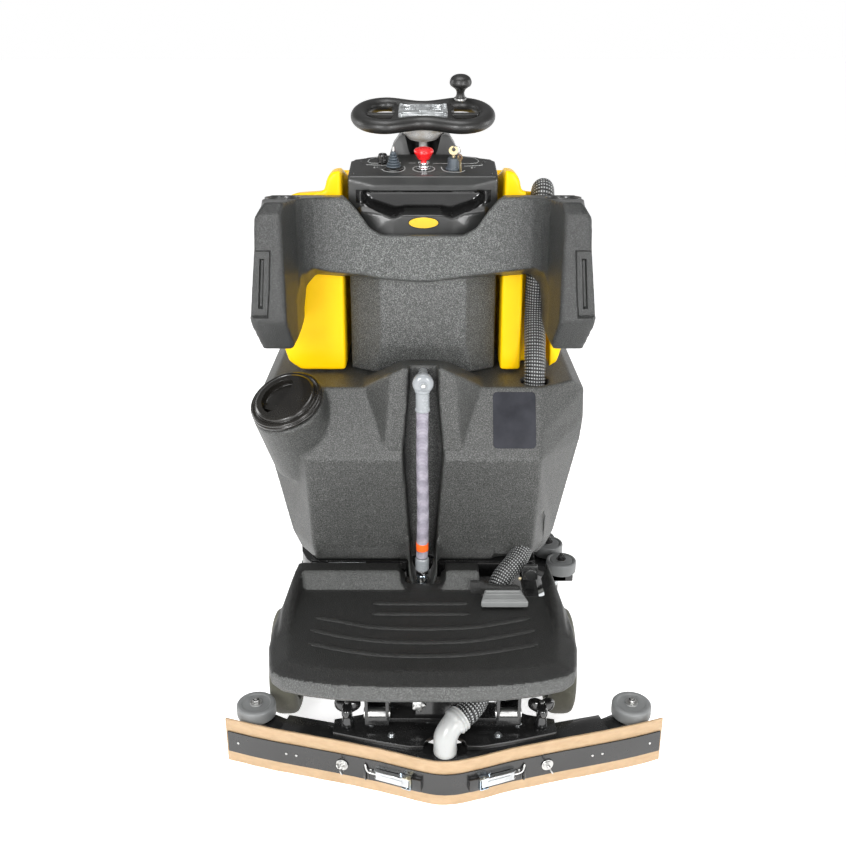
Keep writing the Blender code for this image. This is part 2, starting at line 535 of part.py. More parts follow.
rim = []
N = 22
for i in range(N):
    x = -0.139 * cos(pi * i / N)
    rim.append(wp(x, rim_depth(x)))
for i in range(N):
    x = 0.139 * cos(pi * i / N)
    rim.append(wp(x, -rim_depth(x)))
plate = loft([[wp(a, b, h) for a, b in ((-0.066, -0.050), (-0.052, -0.060), (0.052, -0.060), (0.066, -0.050), (0.060, 0.0),
                                       (0.066, 0.050), (0.052, 0.060), (-0.052, 0.060), (-0.066, 0.050), (-0.060, 0.0))]
              for h in (-0.0085, 0.0065)])
spokes = [loft([[wp(a, b, h) for a, b in ((s * 0.055, -0.008), (s * 0.137, -0.009), (s * 0.137, 0.009), (s * 0.055, 0.008))]
                for h in (-0.008, 0.0045)]) for s in (-1, 1)]
piece("steering_wheel", sweep(rim, 0.0145, 8, loop=True), SMOOTH, pivot=WHEEL_C, add=[plate] + spokes, smooth=50)
piece("wheel_hub_cover", loft([[wp(a * k, b * k, h) for a, b in ((-0.050, -0.030), (-0.044, -0.035), (0.044, -0.035),
                                                               (0.050, -0.030), (0.050, 0.030), (0.044, 0.035),
                                                               (-0.044, 0.035), (-0.050, 0.030))]
                               for h, k in ((0.0072, 1.0), (0.0125, 1.0), (0.0145, 0.93))]), GREY, pivot=WHEEL_C)
piece("hub_bowl", lathe([(0, -0.0092), (0.0380, -0.0092), (0.0380, -0.0150), (0.0505, -0.0155), (0.0492, -0.0220), (0.0450, -0.0335), (0.0365, -0.0440),
                         (0.009, -0.0440), (0.009, -0.0930), (0, -0.0930)], WHEEL_C, WN, 28), STEEL, pivot=WHEEL_C)
KN = wp(0.083, 0.0775, 0.0150)
piece("spinner_knob", lathe([(0, 0), (0.0100, 0.0), (0.0085, 0.010), (0.0095, 0.018), (0.0150, 0.0250), (0.0235, 0.0310),
                             (0.0245, 0.0370), (0.0215, 0.0450), (0.0140, 0.0500), (0, 0.0515)], KN, WN, 24),
      SMOOTH, pivot=KN)
piece("column_cowl", prism("y", [(-0.073, 0.667), (-0.073, 1.100), (-0.066, 1.120), (-0.052, 1.139), (-0.042, 1.143),
                                 (0.048, 1.143), (0.058, 1.139), (0.070, 1.120), (0.079, 1.100), (0.079, 0.667)],
                           0.5375, 0.632), SMOOTH,
      cut=[cyl((0, SHAFT_Y, 0.60), (0, SHAFT_Y, 1.105), 0.030, 20),
           cyl(WHEEL_C - WN * 0.12, WHEEL_C - WN * 0.0, 0.042, 24, 0.050)])
piece("steering_shaft", cyl((0, SHAFT_Y, 0.3006), (0, SHAFT_Y, 1.070), 0.0110, 16), STEEL, pivot=(0, SHAFT_Y, 0.30),
      add=[cyl((0, SHAFT_Y, 0.322), (0, SHAFT_Y, 0.332), 0.0280, 24)])

# ============================================================ inside the body
piece("battery_pack", box(-0.193, 0.193, 0.272, 0.550, 0.2706, 0.490), SMOOTH)
piece("vacuum_motor", lathe([(0, 0), (0.062, 0), (0.062, 0.055), (0.045, 0.065), (0.045, 0.120), (0.035, 0.130), (0, 0.130)],
                            (0.105, 0.700, 0.2706), (0, 0, 1), 24), STEEL)

# ============================================================ platform
edge = [(0.0, -0.2030), (0.080, -0.2025), (0.155, -0.1975), (0.215, -0.1860), (0.262, -0.1700), (0.283, -0.1500),
        (0.2905, -0.1250), (0.2985, -0.070), (0.2995, 0.0), (0.2940, 0.069), (0.2830, 0.125), (0.2740, 0.158), (0.270, 0.190)]


def outline(inset, front=0.190):
    """Platform outline, pulled in by inset (the front edge stays)."""
    pts = []
    for i, (x, y) in enumerate(edge):
        a = edge[max(0, i - 1)]
        b = edge[min(len(edge) - 1, i + 1)]
        t = Vector((b[0] - a[0], b[1] - a[1])).normalized()
        nx, ny = -t.y, t.x
        if i == 0:
            nx, ny = 0.0, 1.0
        if i == len(edge) - 1:
            nx, ny = -1.0, 0.0
        pts.append((x + nx * inset, min(front, y + ny * inset)))
    return pts + [(-x, y) for x, y in reversed(pts[1:])]


def at_z(pts, z):
    return [(x, y, z) for x, y in pts]


platform = loft([at_z(outline(0.006), 0.213), at_z(outline(0.0), 0.222), at_z(outline(0.0), 0.246),
                 at_z(outline(0.004), 0.2500), at_z(outline(0.038), 0.2600)])
kick = prism("x", [(0.112, 0.252), (0.118, 0.262), (0.150, 0.2880), (0.1895, 0.2880), (0.1895, 0.252)], -0.262, 0.262)
ridges = [hull([(s * x, y, z) for x, y, z in ((0.256, 0.150, 0.2875), (0.272, 0.150, 0.2860), (0.278, 0.150, 0.252),
                                            (0.246, 0.150, 0.252), (0.262, -0.050, 0.2595), (0.284, -0.050, 0.2520),
                                            (0.268, 0.050, 0.2790), (0.284, 0.050, 0.2700), (0.290, 0.050, 0.252),
                                            (0.256, 0.189, 0.2875), (0.268, 0.189, 0.2860), (0.270, 0.189, 0.252),
                                            (0.246, 0.189, 0.252))]) for s in (-1, 1)]
hollow = loft([at_z([(x, y if y < 0.18 else 0.25) for x, y in outline(0.014)], z) for z in (0.19, 0.2482)])
notch_mid = prism("y", [(-0.048, 0.30), (-0.047, 0.272), (-0.036, 0.2605), (0.036, 0.2605), (0.047, 0.272), (0.048, 0.30)],
                  0.108, 0.30)
notch_hole = box(-0.038, 0.038, 0.150, 0.30, 0.19, 0.30)
notch_hose = prism("y", [(0.118, 0.30), (0.120, 0.262), (0.135, 0.22), (0.240, 0.22), (0.262, 0.262), (0.265, 0.30)],
                   0.098, 0.30)
piece("platform", platform, BLACK, add=[kick] + ridges,
      cut=[hollow, notch_mid, notch_hole, notch_hose] +
      [box(*sorted((s * 0.252, s * 0.34)), -0.035, 0.25, 0.19, 0.2265) for s in (-1, 1)], smooth=40)

PED = (0.1655, 0.097, 0.2665)
piece("foot_pedal", loft([[(x, y, z + (0.004 if y < 0.06 else 0.0) * k) for x, y in
                           ((0.118, 0.044), (0.214, 0.044), (0.2025, 0.097), (0.1285, 0.097))]
                          for z, k in ((0.2660, 0), (0.2760, 1))]), GREY, pivot=PED)

# ============================================================ scrub deck
def stadium(r, n=12):
    pts = []
    for k in range(n + 1):
        t = -pi / 2 + pi * k / n
        pts.append((BRUSH_X[1] + r * cos(t), DECK_Y + r * sin(t)))
    for k in range(n + 1):
        t = pi / 2 + pi * k / n
        pts.append((BRUSH_X[0] + r * cos(t), DECK_Y + r * sin(t)))
    return pts


DR = (0.325, 0.364)
DF = (0.304, 0.448)
deck = prism("z", stadium(0.163), 0.040, 0.165)
piece("deck_housing", deck, PAINT, pivot=(0, DECK_Y, 0.165),
      add=[hull([(x, y, z) for x, y in ((0.335, 0.345), (0.305, 0.345), (0.24, 0.40), (0.30, 0.46), (0.338, 0.46))
                 for z in (0.148, 0.1645)]),
           cyl((DR[0], DR[1], 0.15), (DR[0], DR[1], 0.206), 0.0060, 12),
           cyl((DF[0], DF[1], 0.15), (DF[0], DF[1], 0.206), 0.0060, 12)],
      cut=[cyl((BRUSH_X[0], DECK_Y, 0.0), (BRUSH_X[0], DECK_Y, 0.150), 0.157, 24),
           cyl((BRUSH_X[1], DECK_Y, 0.0), (BRUSH_X[1], DECK_Y, 0.150), 0.157, 24),
           box(BRUSH_X[0], BRUSH_X[1], DECK_Y - 0.12, DECK_Y + 0.12, 0.0, 0.1495),
           cyl((BRUSH_X[0], DECK_Y, 0.10), (BRUSH_X[0], DECK_Y, 0.20), 0.0170, 16),
           cyl((BRUSH_X[1], DECK_Y, 0.10), (BRUSH_X[1], DECK_Y, 0.20), 0.0170, 16)])
for side, bx in (("left", BRUSH_X[0]), ("right", BRUSH_X[1])):
    piece("scrub_brush_" + side, lathe([(0.050, 0.0), (BRUSH_R, 0.0), (BRUSH_R - 0.004, 0.032), (BRUSH_R - 0.006, 0.048),
                                        (0.040, 0.055), (0.030, 0.120), (0.0160, 0.122), (0.0160, 0.1640), (0.010, 0.1640),
                                        (0.010, 0.030), (0.050, 0.030)], (bx, DECK_Y, 0.0), (0, 0, 1), 22, closed=True),
          TAN, pivot=(bx, DECK_Y, 0.0))
    piece("brush_motor_" + side, lathe([(0, 0.1656), (0.0395, 0.1656), (0.0395, 0.205), (0.030, 0.2135), (0, 0.2135)],
                                       (bx, DECK_Y, 0.0), (0, 0, 1), 24), STEEL, pivot=(bx, DECK_Y, 0.165))
for tag, (rx, ry) in (("rear", DR), ("front", DF)):
    piece("deck_roller_" + tag, ring((rx, ry, 0.1660), (rx, ry, 0.1960), 0.0350, 0.0066, 24, 0.002), GREY,
          pivot=(rx, ry, 0.165))

# ============================================================ squeegee
SQ = [(0.0, -0.2235), (0.020, -0.2220), (0.040, -0.2165), (0.070, -0.2065), (0.125, -0.1865), (0.207, -0.1625),
      (0.265, -0.1470), (0.325, -0.1310), (0.375, -0.1160), (0.430, -0.0965)]


def sq_point(d, off=0.0):
    """Point of the blade's rear face at signed distance d, moved forward by off."""
    a = abs(d)
    for (x0, y0), (x1, y1) in zip(SQ, SQ[1:]):
        if a <= x1 + 1e-9:
            break
    t = (a - x0) / (x1 - x0)
    y = y0 + (y1 - y0) * t
    sl = (y1 - y0) / (x1 - x0) if a > 0.012 else 0.0
    nrm = Vector((-sl, 1.0)).normalized()
    s = 1.0 if d >= 0 else -1.0
    return (SQ_X + s * (a + nrm.x * off), y + nrm.y * off)


def sq_strip(o0, o1, z0, z1, ends=SQ_TIP, n=None):
    ds = sorted({-x for x, y in SQ if x < ends} | {x for x, y in SQ if x < ends} | {-ends, ends})
    pts = [sq_point(d, o0) for d in ds] + [sq_point(d, o1) for d in reversed(ds)]
    return prism("z", pts, z0, z1)


SWING = (SQ_X, -0.110)
sqp = (SQ_X, SWING[1], 0.0)
piece("squeegee_blade_rear", sq_strip(0.0, BLADE_T, 0.0, BLADE_H), TAN, pivot=sqp, smooth=30)
piece("squeegee_blade_front", sq_strip(0.0505, 0.0540, 0.0, 0.085, 0.300), TAN, pivot=sqp, smooth=30)
bases = []
for s in (-1, 1):
    p0, p1 = sq_point(s * 0.042, -0.002), sq_point(s * 0.062, -0.002)
    q1, q0 = sq_point(s * 0.062, -0.0135), sq_point(s * 0.042, -0.0135)
    bases.append(prism("z", [p0, p1, q1, q0], 0.0335, 0.0600))
piece("squeegee_strap", sq_strip(-0.0035, -0.0006, 0.0255, 0.0730, 0.4255), PAINT, pivot=sqp, add=bases, smooth=30)
wheel_x = {"left": SQ_X - 0.3730, "right": SQ_X + 0.3730}
arms = []
for s, side in ((-1, "left"), (1, "right")):
    wx = wheel_x[side]
    arms.append(hull([(SQ_X + s * x, y, z) for x, y in ((0.300, -0.128), (0.300, -0.085), (0.360, -0.050), (0.388, -0.055),
                                                     (0.388, -0.075), (0.345, -0.100)) for z in (0.066, 0.0845)]))
    arms.append(cyl((wx, BUMPER_Y, 0.07), (wx, BUMPER_Y, 0.1220), 0.0060, 12))
piece("squeegee_body", sq_strip(0.0046, 0.0498, 0.045, 0.0995, 0.318), PAINT, pivot=sqp, add=arms,
      cut=[cyl((SQ_X, -0.1955, 0.03), (SQ_X, -0.1955, 0.12), 0.0160, 20),
           sq_strip(0.0120, 0.0425, 0.030, 0.080, 0.290)], smooth=30)
yoke = prism("z", [(-0.172, -0.1500), (-0.172, -0.112), (-0.120, -0.098), (-0.100, -0.085), (0.183, -0.085), (0.203, -0.098),
                   (0.255, -0.112), (0.255, -0.1500), (0.160, -0.178), (0.110, -0.190), (-0.027, -0.190),
                   (-0.077, -0.178)], 0.1003, 0.1103)
piece("yoke_plate", yoke, PAINT, pivot=sqp,
      cut=[cyl((SQ_X, -0.1955, 0.09), (SQ_X, -0.1955, 0.12), 0.0420, 28),
           cyl((SWING[0], SWING[1], 0.09), (SWING[0], SWING[1], 0.12), 0.0106, 16)])
elbow_path = smooth_path([(SQ_X, -0.1955, 0.1003), (SQ_X, -0.1955, 0.128), (SQ_X + 0.004, -0.1930, 0.144),
                          (SQ_X + 0.014, -0.1850, 0.1555), (SQ_X + 0.0285, -0.1725, 0.1610)], 0.012)
end_dir = (elbow_path[-1] - elbow_path[-2]).normalized()
ELBOW_END = elbow_path[-1]
piece("squeegee_elbow", sweep(elbow_path, 0.0228, 16), GREY, pivot=sqp,
      add=[cyl(ELBOW_END - end_dir * 0.010, ELBOW_END, 0.0255, 16)])
for side in ("left", "right"):
    wx = wheel_x[side]
    piece("squeegee_wheel_" + side, ring((wx, BUMPER_Y, 0.0860), (wx, BUMPER_Y, 0.1140), BUMPER_R, 0.0066, 28, 0.0025),
          GREY, pivot=(wx, BUMPER_Y, 0.1))
for side, kx in (("left", -0.145), ("right", 0.2270)):
    lobes = []
    for k in range(18):
        t = 2 * pi * k / 18
        r = 0.0200 + 0.0085 * cos(3 * t - pi / 2)
        lobes.append((kx + r * cos(t), -0.130 + r * sin(t)))
    piece("wing_knob_" + side, loft([at_z([(kx + (x - kx) * 0.8, -0.130 + (y + 0.130) * 0.8) for x, y in lobes], 0.1430),
                                     at_z(lobes, 0.1500), at_z(lobes, 0.1600),
                                     at_z([(kx + (x - kx) * 0.7, -0.130 + (y + 0.130) * 0.7) for x, y in lobes], 0.1650)]),
          SMOOTH, pivot=(kx, -0.130, 0.11),
          add=[cyl((kx, -0.130, 0.1110), (kx, -0.130, 0.1450), 0.0120, 16)])
for s, side in ((-1, "left"), (1, "right")):
    a0, a1 = sq_point(s * 0.0630, -0.0042), sq_point(s * 0.1330, -0.0042)
    b1, b0 = sq_point(s * 0.1330, -0.0130), sq_point(s * 0.0630, -0.0130)
    piece("latch_" + side, prism("z", [a0, a1, b1, b0], 0.0360, 0.0575), STEEL, pivot=(b0[0], b0[1], 0.047))
    c = sq_point(s * 0.195, -0.0042)
    d = sq_point(s * 0.195, -0.0182)
    nv = (Vector((d[0], d[1], 0)) - Vector((c[0], c[1], 0))).normalized()
    cc = Vector((c[0], c[1], 0.050))
    piece("thumbscrew_" + side, cyl(cc, cc + nv * 0.0025, 0.0120, 20), STEEL, pivot=cc,
          add=[cyl(cc + nv * 0.002, cc + nv * 0.012, 0.0035, 12),
               hull([cc + nv * h + Vector((0, 0, z)) + frame_of(nv)[0] * t for h, z in ((0.008, -0.010), (0.008, 0.010),
                                                                                 (0.017, -0.012), (0.017, 0.012))
                     for t in (-0.0012, 0.0012)])])

# lift arm: central beam, two brackets and the swing pin
py, pz0 = LIFT_PIVOT
beam = prism("x", [(py + 0.016, pz0 - 0.012), (py + 0.016, pz0 + 0.010), (-0.060, 0.192), (-0.125, 0.178),
                   (-0.125, 0.1215), (-0.090, 0.1215), (-0.060, 0.166)], -0.014, 0.054)
brk = []
brk_cut = []
for a in (-0.111, 0.1400):
    brk.append(box(a, a + 0.046, -0.145, -0.078, 0.1216, 0.200))
    brk_cut.append(box(a + 0.006, a + 0.040, -0.160, -0.090, 0.140, 0.30))
piece("lift_arm", beam, PAINT, pivot=(SQ_X, py, pz0),
      add=brk + [box(-0.111, 0.186, -0.135, -0.085, 0.1216, 0.1300),
                 cyl((SWING[0], SWING[1], 0.1008), (SWING[0], SWING[1], 0.125), 0.0100, 16),
                 cyl((-0.048, py, pz0), (0.078, py, pz0), 0.0080, 16)],
      cut=brk_cut)
AK = Vector((-0.008, -0.1260, 0.163))
star = []
for k in range(20):
    t = 2 * pi * k / 20
    r = 0.0120 + 0.0025 * cos(5 * t)
    star.append((AK.x + r * cos(t), AK.z + r * sin(t)))
piece("adjust_knob", prism("y", star, -0.1420, -0.1262), STEEL, pivot=AK)

# ============================================================ suction hose
upper = smooth_path([(0.2325, 0.2520, 0.4000), (0.2355, 0.2790, 0.5500), (0.2365, 0.3000, 0.6650),
                     (0.2380, 0.3300, 0.7250), (0.2400, 0.3760, 0.7920), (0.2410, 0.3800, 0.8800), (0.2440, 0.3800, 0.9900),
                     (0.2490, 0.3920, 1.0300), (0.2510, 0.4200, 1.0450), (0.2515, 0.4520, 1.0260),
                     (0.2515, 0.4600, 0.9780)], 0.052)
piece("vacuum_hose_upper", sweep(upper, HOSE_R, 10), SMOOTH, smooth=60)
start = ELBOW_END + end_dir * 0.004
lower = smooth_path([start, start + end_dir * 0.020, (0.108, -0.118, 0.176), (0.112, -0.060, 0.190), (0.118, 0.010, 0.199),
                     (0.126, 0.070, 0.203), (0.142, 0.116, 0.222), (0.168, 0.160, 0.262), (0.202, 0.192, 0.288),
                     (0.2220, 0.2170, 0.3080), (0.2300, 0.2370, 0.3400), (0.2320, 0.2480, 0.3750),
                     (0.23245, 0.25150, 0.3968)], 0.036)
piece("vacuum_hose_lower", sweep(lower, HOSE_R, 10), SMOOTH, smooth=60)
piece("drain_plug", box(0.2120, 0.2440, 0.1410, 0.1600, 0.2650, 0.3000), SMOOTH)
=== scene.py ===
import json
import math
import random
import bpy
import bmesh
from math import sin, cos, pi, radians, sqrt
from mathutils import Vector, Matrix
from mathutils.bvhtree import BVHTree

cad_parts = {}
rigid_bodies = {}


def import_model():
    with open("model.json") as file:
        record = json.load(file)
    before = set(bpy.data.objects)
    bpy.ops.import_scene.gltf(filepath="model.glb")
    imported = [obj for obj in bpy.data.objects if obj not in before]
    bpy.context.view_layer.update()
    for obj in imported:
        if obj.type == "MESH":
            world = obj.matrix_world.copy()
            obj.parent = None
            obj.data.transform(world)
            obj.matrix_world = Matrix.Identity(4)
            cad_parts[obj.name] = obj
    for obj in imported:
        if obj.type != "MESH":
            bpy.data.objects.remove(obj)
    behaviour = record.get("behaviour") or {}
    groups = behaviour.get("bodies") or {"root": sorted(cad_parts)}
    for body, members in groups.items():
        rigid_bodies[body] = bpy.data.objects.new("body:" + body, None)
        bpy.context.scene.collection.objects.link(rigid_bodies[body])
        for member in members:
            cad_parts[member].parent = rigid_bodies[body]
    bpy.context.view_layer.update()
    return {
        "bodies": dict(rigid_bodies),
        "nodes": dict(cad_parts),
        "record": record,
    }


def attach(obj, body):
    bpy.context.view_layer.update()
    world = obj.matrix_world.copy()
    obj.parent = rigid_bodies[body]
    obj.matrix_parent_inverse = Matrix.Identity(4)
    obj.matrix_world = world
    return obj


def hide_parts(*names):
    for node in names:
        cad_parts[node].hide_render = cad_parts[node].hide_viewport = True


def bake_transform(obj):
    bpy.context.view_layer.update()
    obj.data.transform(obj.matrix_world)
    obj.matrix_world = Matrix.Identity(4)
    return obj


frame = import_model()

NODES = frame["nodes"]
BODIES = frame["bodies"]
COLL = bpy.context.scene.collection

# Everything below is given about the machine's own centre plane and the rear
# bumper wheels' line; SHIFT takes it to the row frame.
SHIFT = Vector((-0.0415, -0.4235, 0.0))
DONE = set()


# =============================================================== mesh builders
def body(verts, faces):
    bm = bmesh.new()
    vs = [bm.verts.new(Vector(v)) for v in verts]
    for f in faces:
        try:
            bm.faces.new([vs[i] for i in f])
        except ValueError:
            pass
    bmesh.ops.remove_doubles(bm, verts=bm.verts, dist=1e-7)
    bmesh.ops.recalc_face_normals(bm, faces=bm.faces)
    if bm.calc_volume(signed=True) < 0:
        bmesh.ops.reverse_faces(bm, faces=bm.faces)
    return bm


def loft(rings, caps=True):
    n = len(rings[0])
    verts = [p for r in rings for p in r]
    faces = []
    for k in range(len(rings) - 1):
        for i in range(n):
            j = (i + 1) % n
            faces.append((k * n + i, k * n + j, (k + 1) * n + j, (k + 1) * n + i))
    if caps:
        faces.append(tuple(range(n)))
        faces.append(tuple(range((len(rings) - 1) * n, len(rings) * n)))
    return body(verts, faces)


def prism(axis, pts, a, b):
    put = {"x": lambda p, t: (t, p[0], p[1]),
           "y": lambda p, t: (p[0], t, p[1]),
           "z": lambda p, t: (p[0], p[1], t)}[axis]
    return loft([[put(p, a) for p in pts], [put(p, b) for p in pts]])


def box(x0, x1, y0, y1, z0, z1):
    return prism("z", [(x0, y0), (x1, y0), (x1, y1), (x0, y1)], z0, z1)


def hull(points):
    bm = bmesh.new()
    for p in points:
        bm.verts.new(Vector(p))
    res = bmesh.ops.convex_hull(bm, input=bm.verts)
    junk = {g for key in ("geom_interior", "geom_unused") for g in res[key]
            if isinstance(g, bmesh.types.BMVert)}
    bmesh.ops.delete(bm, geom=list(junk), context="VERTS")
    bmesh.ops.recalc_face_normals(bm, faces=bm.faces)
    return bm


def frame_of(axis):
    w = Vector(axis).normalized()
    ref = Vector((0, 0, 1)) if abs(w.z) < 0.9 else Vector((1, 0, 0))
    u = ref.cross(w).normalized()
    return u, w.cross(u), w


def lathe(profile, centre, axis, seg=64, closed=False, wave=None):
    """Turn (radius, height) points about an axis; wave(angle, r, h) adds to r."""
    u, v, w = frame_of(axis)
    c = Vector(centre)
    rows, verts = [], []
    for r, h in profile:
        if r < 1e-7:
            rows.append([len(verts)])
            verts.append(c + w * h)
        else:
            rows.append(list(range(len(verts), len(verts) + seg)))
            for i in range(seg):
                t = 2 * pi * i / seg
                rr = r + (wave(t, r, h) if wave else 0.0)
                verts.append(c + w * h + (u * cos(t) + v * sin(t)) * rr)
    faces = []
    pairs = list(zip(rows, rows[1:])) + ([(rows[-1], rows[0])] if closed else [])
    for a, b in pairs:
        for i in range(seg):
            j = (i + 1) % seg
            if len(a) == 1 and len(b) == 1:
                continue
            if len(a) == 1:
                faces.append((a[0], b[i], b[j]))
            elif len(b) == 1:
                faces.append((a[i], a[j], b[0]))
            else:
                faces.append((a[i], a[j], b[j], b[i]))
    if not closed:
        if len(rows[0]) > 1:
            faces.append(tuple(rows[0]))
        if len(rows[-1]) > 1:
            faces.append(tuple(rows[-1]))
    return body(verts, faces)


def rounded(profile, r, n=4):
    """A (radius, height) profile with its inner corners rounded by r."""
    out = [profile[0]]
    for a, b, c in zip(profile, profile[1:], profile[2:]):
        A, Bv, C = Vector((a[0], a[1], 0)), Vector((b[0], b[1], 0)), Vector((c[0], c[1], 0))
        da, dc = (A - Bv), (C - Bv)
        if da.length < 1e-6 or dc.length < 1e-6 or b[0] < 1e-6:
            out.append(b)
            continue
        rr = min(r, da.length * 0.45, dc.length * 0.45)
        p, q = Bv + da.normalized() * rr, Bv + dc.normalized() * rr
        for k in range(n + 1):
            t = k / n
            s = p * (1 - t) ** 2 + Bv * 2 * t * (1 - t) + q * t * t
            out.append((s.x, s.y))
    out.append(profile[-1])
    return out


def cyl(p, q, r, seg=32, r2=None, chamfer=0.0):
    p, q = Vector(p), Vector(q)
    h = (q - p).length
    r2 = r if r2 is None else r2
    if chamfer:
        prof = [(0, 0), (r - chamfer, 0), (r, chamfer), (r2, h - chamfer), (r2 - chamfer, h), (0, h)]
    else:
        prof = [(r, 0.0), (r2, h)]
    return lathe(prof, p, q - p, seg)


def ring(p, q, r_out, r_in, seg=48, chamfer=0.0008):
    p, q = Vector(p), Vector(q)
    h = (q - p).length
    prof = [(r_in, chamfer), (r_in + chamfer, 0), (r_out - chamfer, 0), (r_out, chamfer), (r_out, h - chamfer),
            (r_out - chamfer, h), (r_in + chamfer, h), (r_in, h - chamfer)]
    return lathe(prof, p, q - p, seg, closed=True)


def smooth_path(points, step):
    p = [Vector(q) for q in points]
    p = [p[0] * 2 - p[1]] + p + [p[-1] * 2 - p[-2]]
    fine = []
    for k in range(1, len(p) - 2):
        for i in range(40):
            t = i / 40.0
            fine.append(0.5 * ((2 * p[k]) + (p[k + 1] - p[k - 1]) * t
                               + (2 * p[k - 1] - 5 * p[k] + 4 * p[k + 1] - p[k + 2]) * t * t
                               + (3 * p[k] - p[k - 1] - 3 * p[k + 1] + p[k + 2]) * t ** 3))
    fine.append(p[-2])
    total = sum((b - a).length for a, b in zip(fine, fine[1:]))
    n = max(2, int(round(total / step)))
    out, acc, k = [fine[0]], 0.0, 0
    for m in range(1, n):
        want = total * m / n
        while acc + (fine[k + 1] - fine[k]).length < want:
            acc += (fine[k + 1] - fine[k]).length
            k += 1
        d = (fine[k + 1] - fine[k]).length
        out.append(fine[k].lerp(fine[k + 1], (want - acc) / d))
    out.append(fine[-1])
    return out


def sweep(path, radius, seg=16, loop=False, section=None, up=None, uv=False, caps=True):
    """Tube along a path.  radius(s, angle) may vary with arc length s in metres."""
    n = len(path)
    tang = []
    for i in range(n):
        a = path[(i - 1) % n] if (loop or i) else path[i]
        b = path[(i + 1) % n] if (loop or i < n - 1) else path[i]
        tang.append((b - a).normalized())
    u = frame_of(tang[0])[0] if up is None else Vector(up)
    arc = [0.0]
    for a, b in zip(path, path[1:]):
        arc.append(arc[-1] + (b - a).length)
    rings = []
    for i in range(n):
        if up is None:
            u = (u - tang[i] * u.dot(tang[i])).normalized()
        else:
            u = (Vector(up) - tang[i] * Vector(up).dot(tang[i])).normalized()
        v = tang[i].cross(u)
        row = []
        for k in range(seg):
            t = 2 * pi * k / seg
            if section:
                a, b = section[k]
                row.append(path[i] + u * a + v * b)
            else:
                r = radius(arc[i], t) if callable(radius) else radius
                row.append(path[i] + (u * cos(t) + v * sin(t)) * r)
        rings.append(row)
    verts = [p for rr in rings for p in rr]
    faces = []
    last = n if loop else n - 1
    for i in range(last):
        k = (i + 1) % n
        for j in range(seg):
            m = (j + 1) % seg
            faces.append((i * seg + j, i * seg + m, k * seg + m, k * seg + j))
    if not loop and caps:
        faces.append(tuple(range(seg)))
        faces.append(tuple(range((n - 1) * seg, n * seg)))
    bm = bmesh.new()
    vs = [bm.verts.new(p) for p in verts]
    layer = bm.loops.layers.uv.new("UVMap") if uv else None
    for q, f in enumerate(faces):
        face = bm.faces.new([vs[i] for i in f])
        if uv and len(f) == 4:
            i, j = divmod(q, seg)
            for lp, (a, b) in zip(face.loops, ((i, j), (i, j + 1), (i + 1, j + 1), (i + 1, j))):
                lp[layer].uv = (b / seg, arc[min(a, n - 1)])
    bmesh.ops.recalc_face_normals(bm, faces=bm.faces)
    if bm.calc_volume(signed=True) < 0:
        bmesh.ops.reverse_faces(bm, faces=bm.faces)
    return bm


def bevel(bm, width, seg=3, angle=30):
    edges = [e for e in bm.edges if len(e.link_faces) == 2 and e.calc_face_angle(0) > radians(angle)]
    if edges:
        bmesh.ops.bevel(bm, geom=edges, offset=width, segments=seg, profile=0.5, affect="EDGES", clamp_overlap=True)
    return bm


def join(*bms):
    out = bmesh.new()
    for b in bms:
        me = bpy.data.meshes.new("tmp")
        b.to_mesh(me)
        b.free()
        out.from_mesh(me)
        bpy.data.meshes.remove(me)
    return out


def turned(bm, matrix):
    bmesh.ops.transform(bm, matrix=matrix, verts=bm.verts)
    return bm


def rounded_rect(w, h, r, n=6):
    pts = []
    for cx, cy, a0 in ((w / 2 - r, h / 2 - r, 0), (-w / 2 + r, h / 2 - r, 90), (-w / 2 + r, -h / 2 + r, 180),
                       (w / 2 - r, -h / 2 + r, 270)):
        for k in range(n + 1):
            t = radians(a0 + 90 * k / n)
            pts.append((cx + r * cos(t), cy + r * sin(t)))
    return pts


def slab(pts, centre, u, v, w, t0, t1, edge=0.0004):
    """A flat plate with a softened upper edge, from an outline in its own plane."""
    c, u, v, w = Vector(centre), Vector(u), Vector(v), Vector(w)
    cx = sum(p[0] for p in pts) / len(pts)
    cy = sum(p[1] for p in pts) / len(pts)

    def row(k, t):
        out = []
        for a, b in pts:
            d = Vector((a - cx, b - cy))
            L = max(d.length, 1e-6)
            d = d * max(0.0, (L - k)) / L
            out.append(c + u * (cx + d.x) + v * (cy + d.y) + w * t)
        return out
    return loft([row(0, t0), row(0, t1 - edge), row(edge, t1)])


# ================================================================== materials
def new_mat(name):
    m = bpy.data.materials.new(name)
    m.use_nodes = True
    t = m.node_tree
    return m, t, t.nodes["Principled BSDF"]


def coords(t, scale=(1, 1, 1), which="Object"):
    tc = t.nodes.new("ShaderNodeTexCoord")
    mp = t.nodes.new("ShaderNodeMapping")
    mp.inputs["Scale"].default_value = scale
    t.links.new(tc.outputs[which], mp.inputs["Vector"])
    return mp.outputs["Vector"]


def noise(t, vec, scale, detail=3.0, rough=0.55, dist=0.0):
    n = t.nodes.new("ShaderNodeTexNoise")
    n.inputs["Scale"].default_value = scale
    n.inputs["Detail"].default_value = detail
    n.inputs["Roughness"].default_value = rough
    n.inputs["Distortion"].default_value = dist
    t.links.new(vec, n.inputs["Vector"])
    return n.outputs["Fac"]


def voronoi(t, vec, scale, feature="F1", rand=1.0):
    n = t.nodes.new("ShaderNodeTexVoronoi")
    n.feature = feature
    n.inputs["Scale"].default_value = scale
    n.inputs["Randomness"].default_value = rand
    t.links.new(vec, n.inputs["Vector"])
    return n.outputs["Distance"]


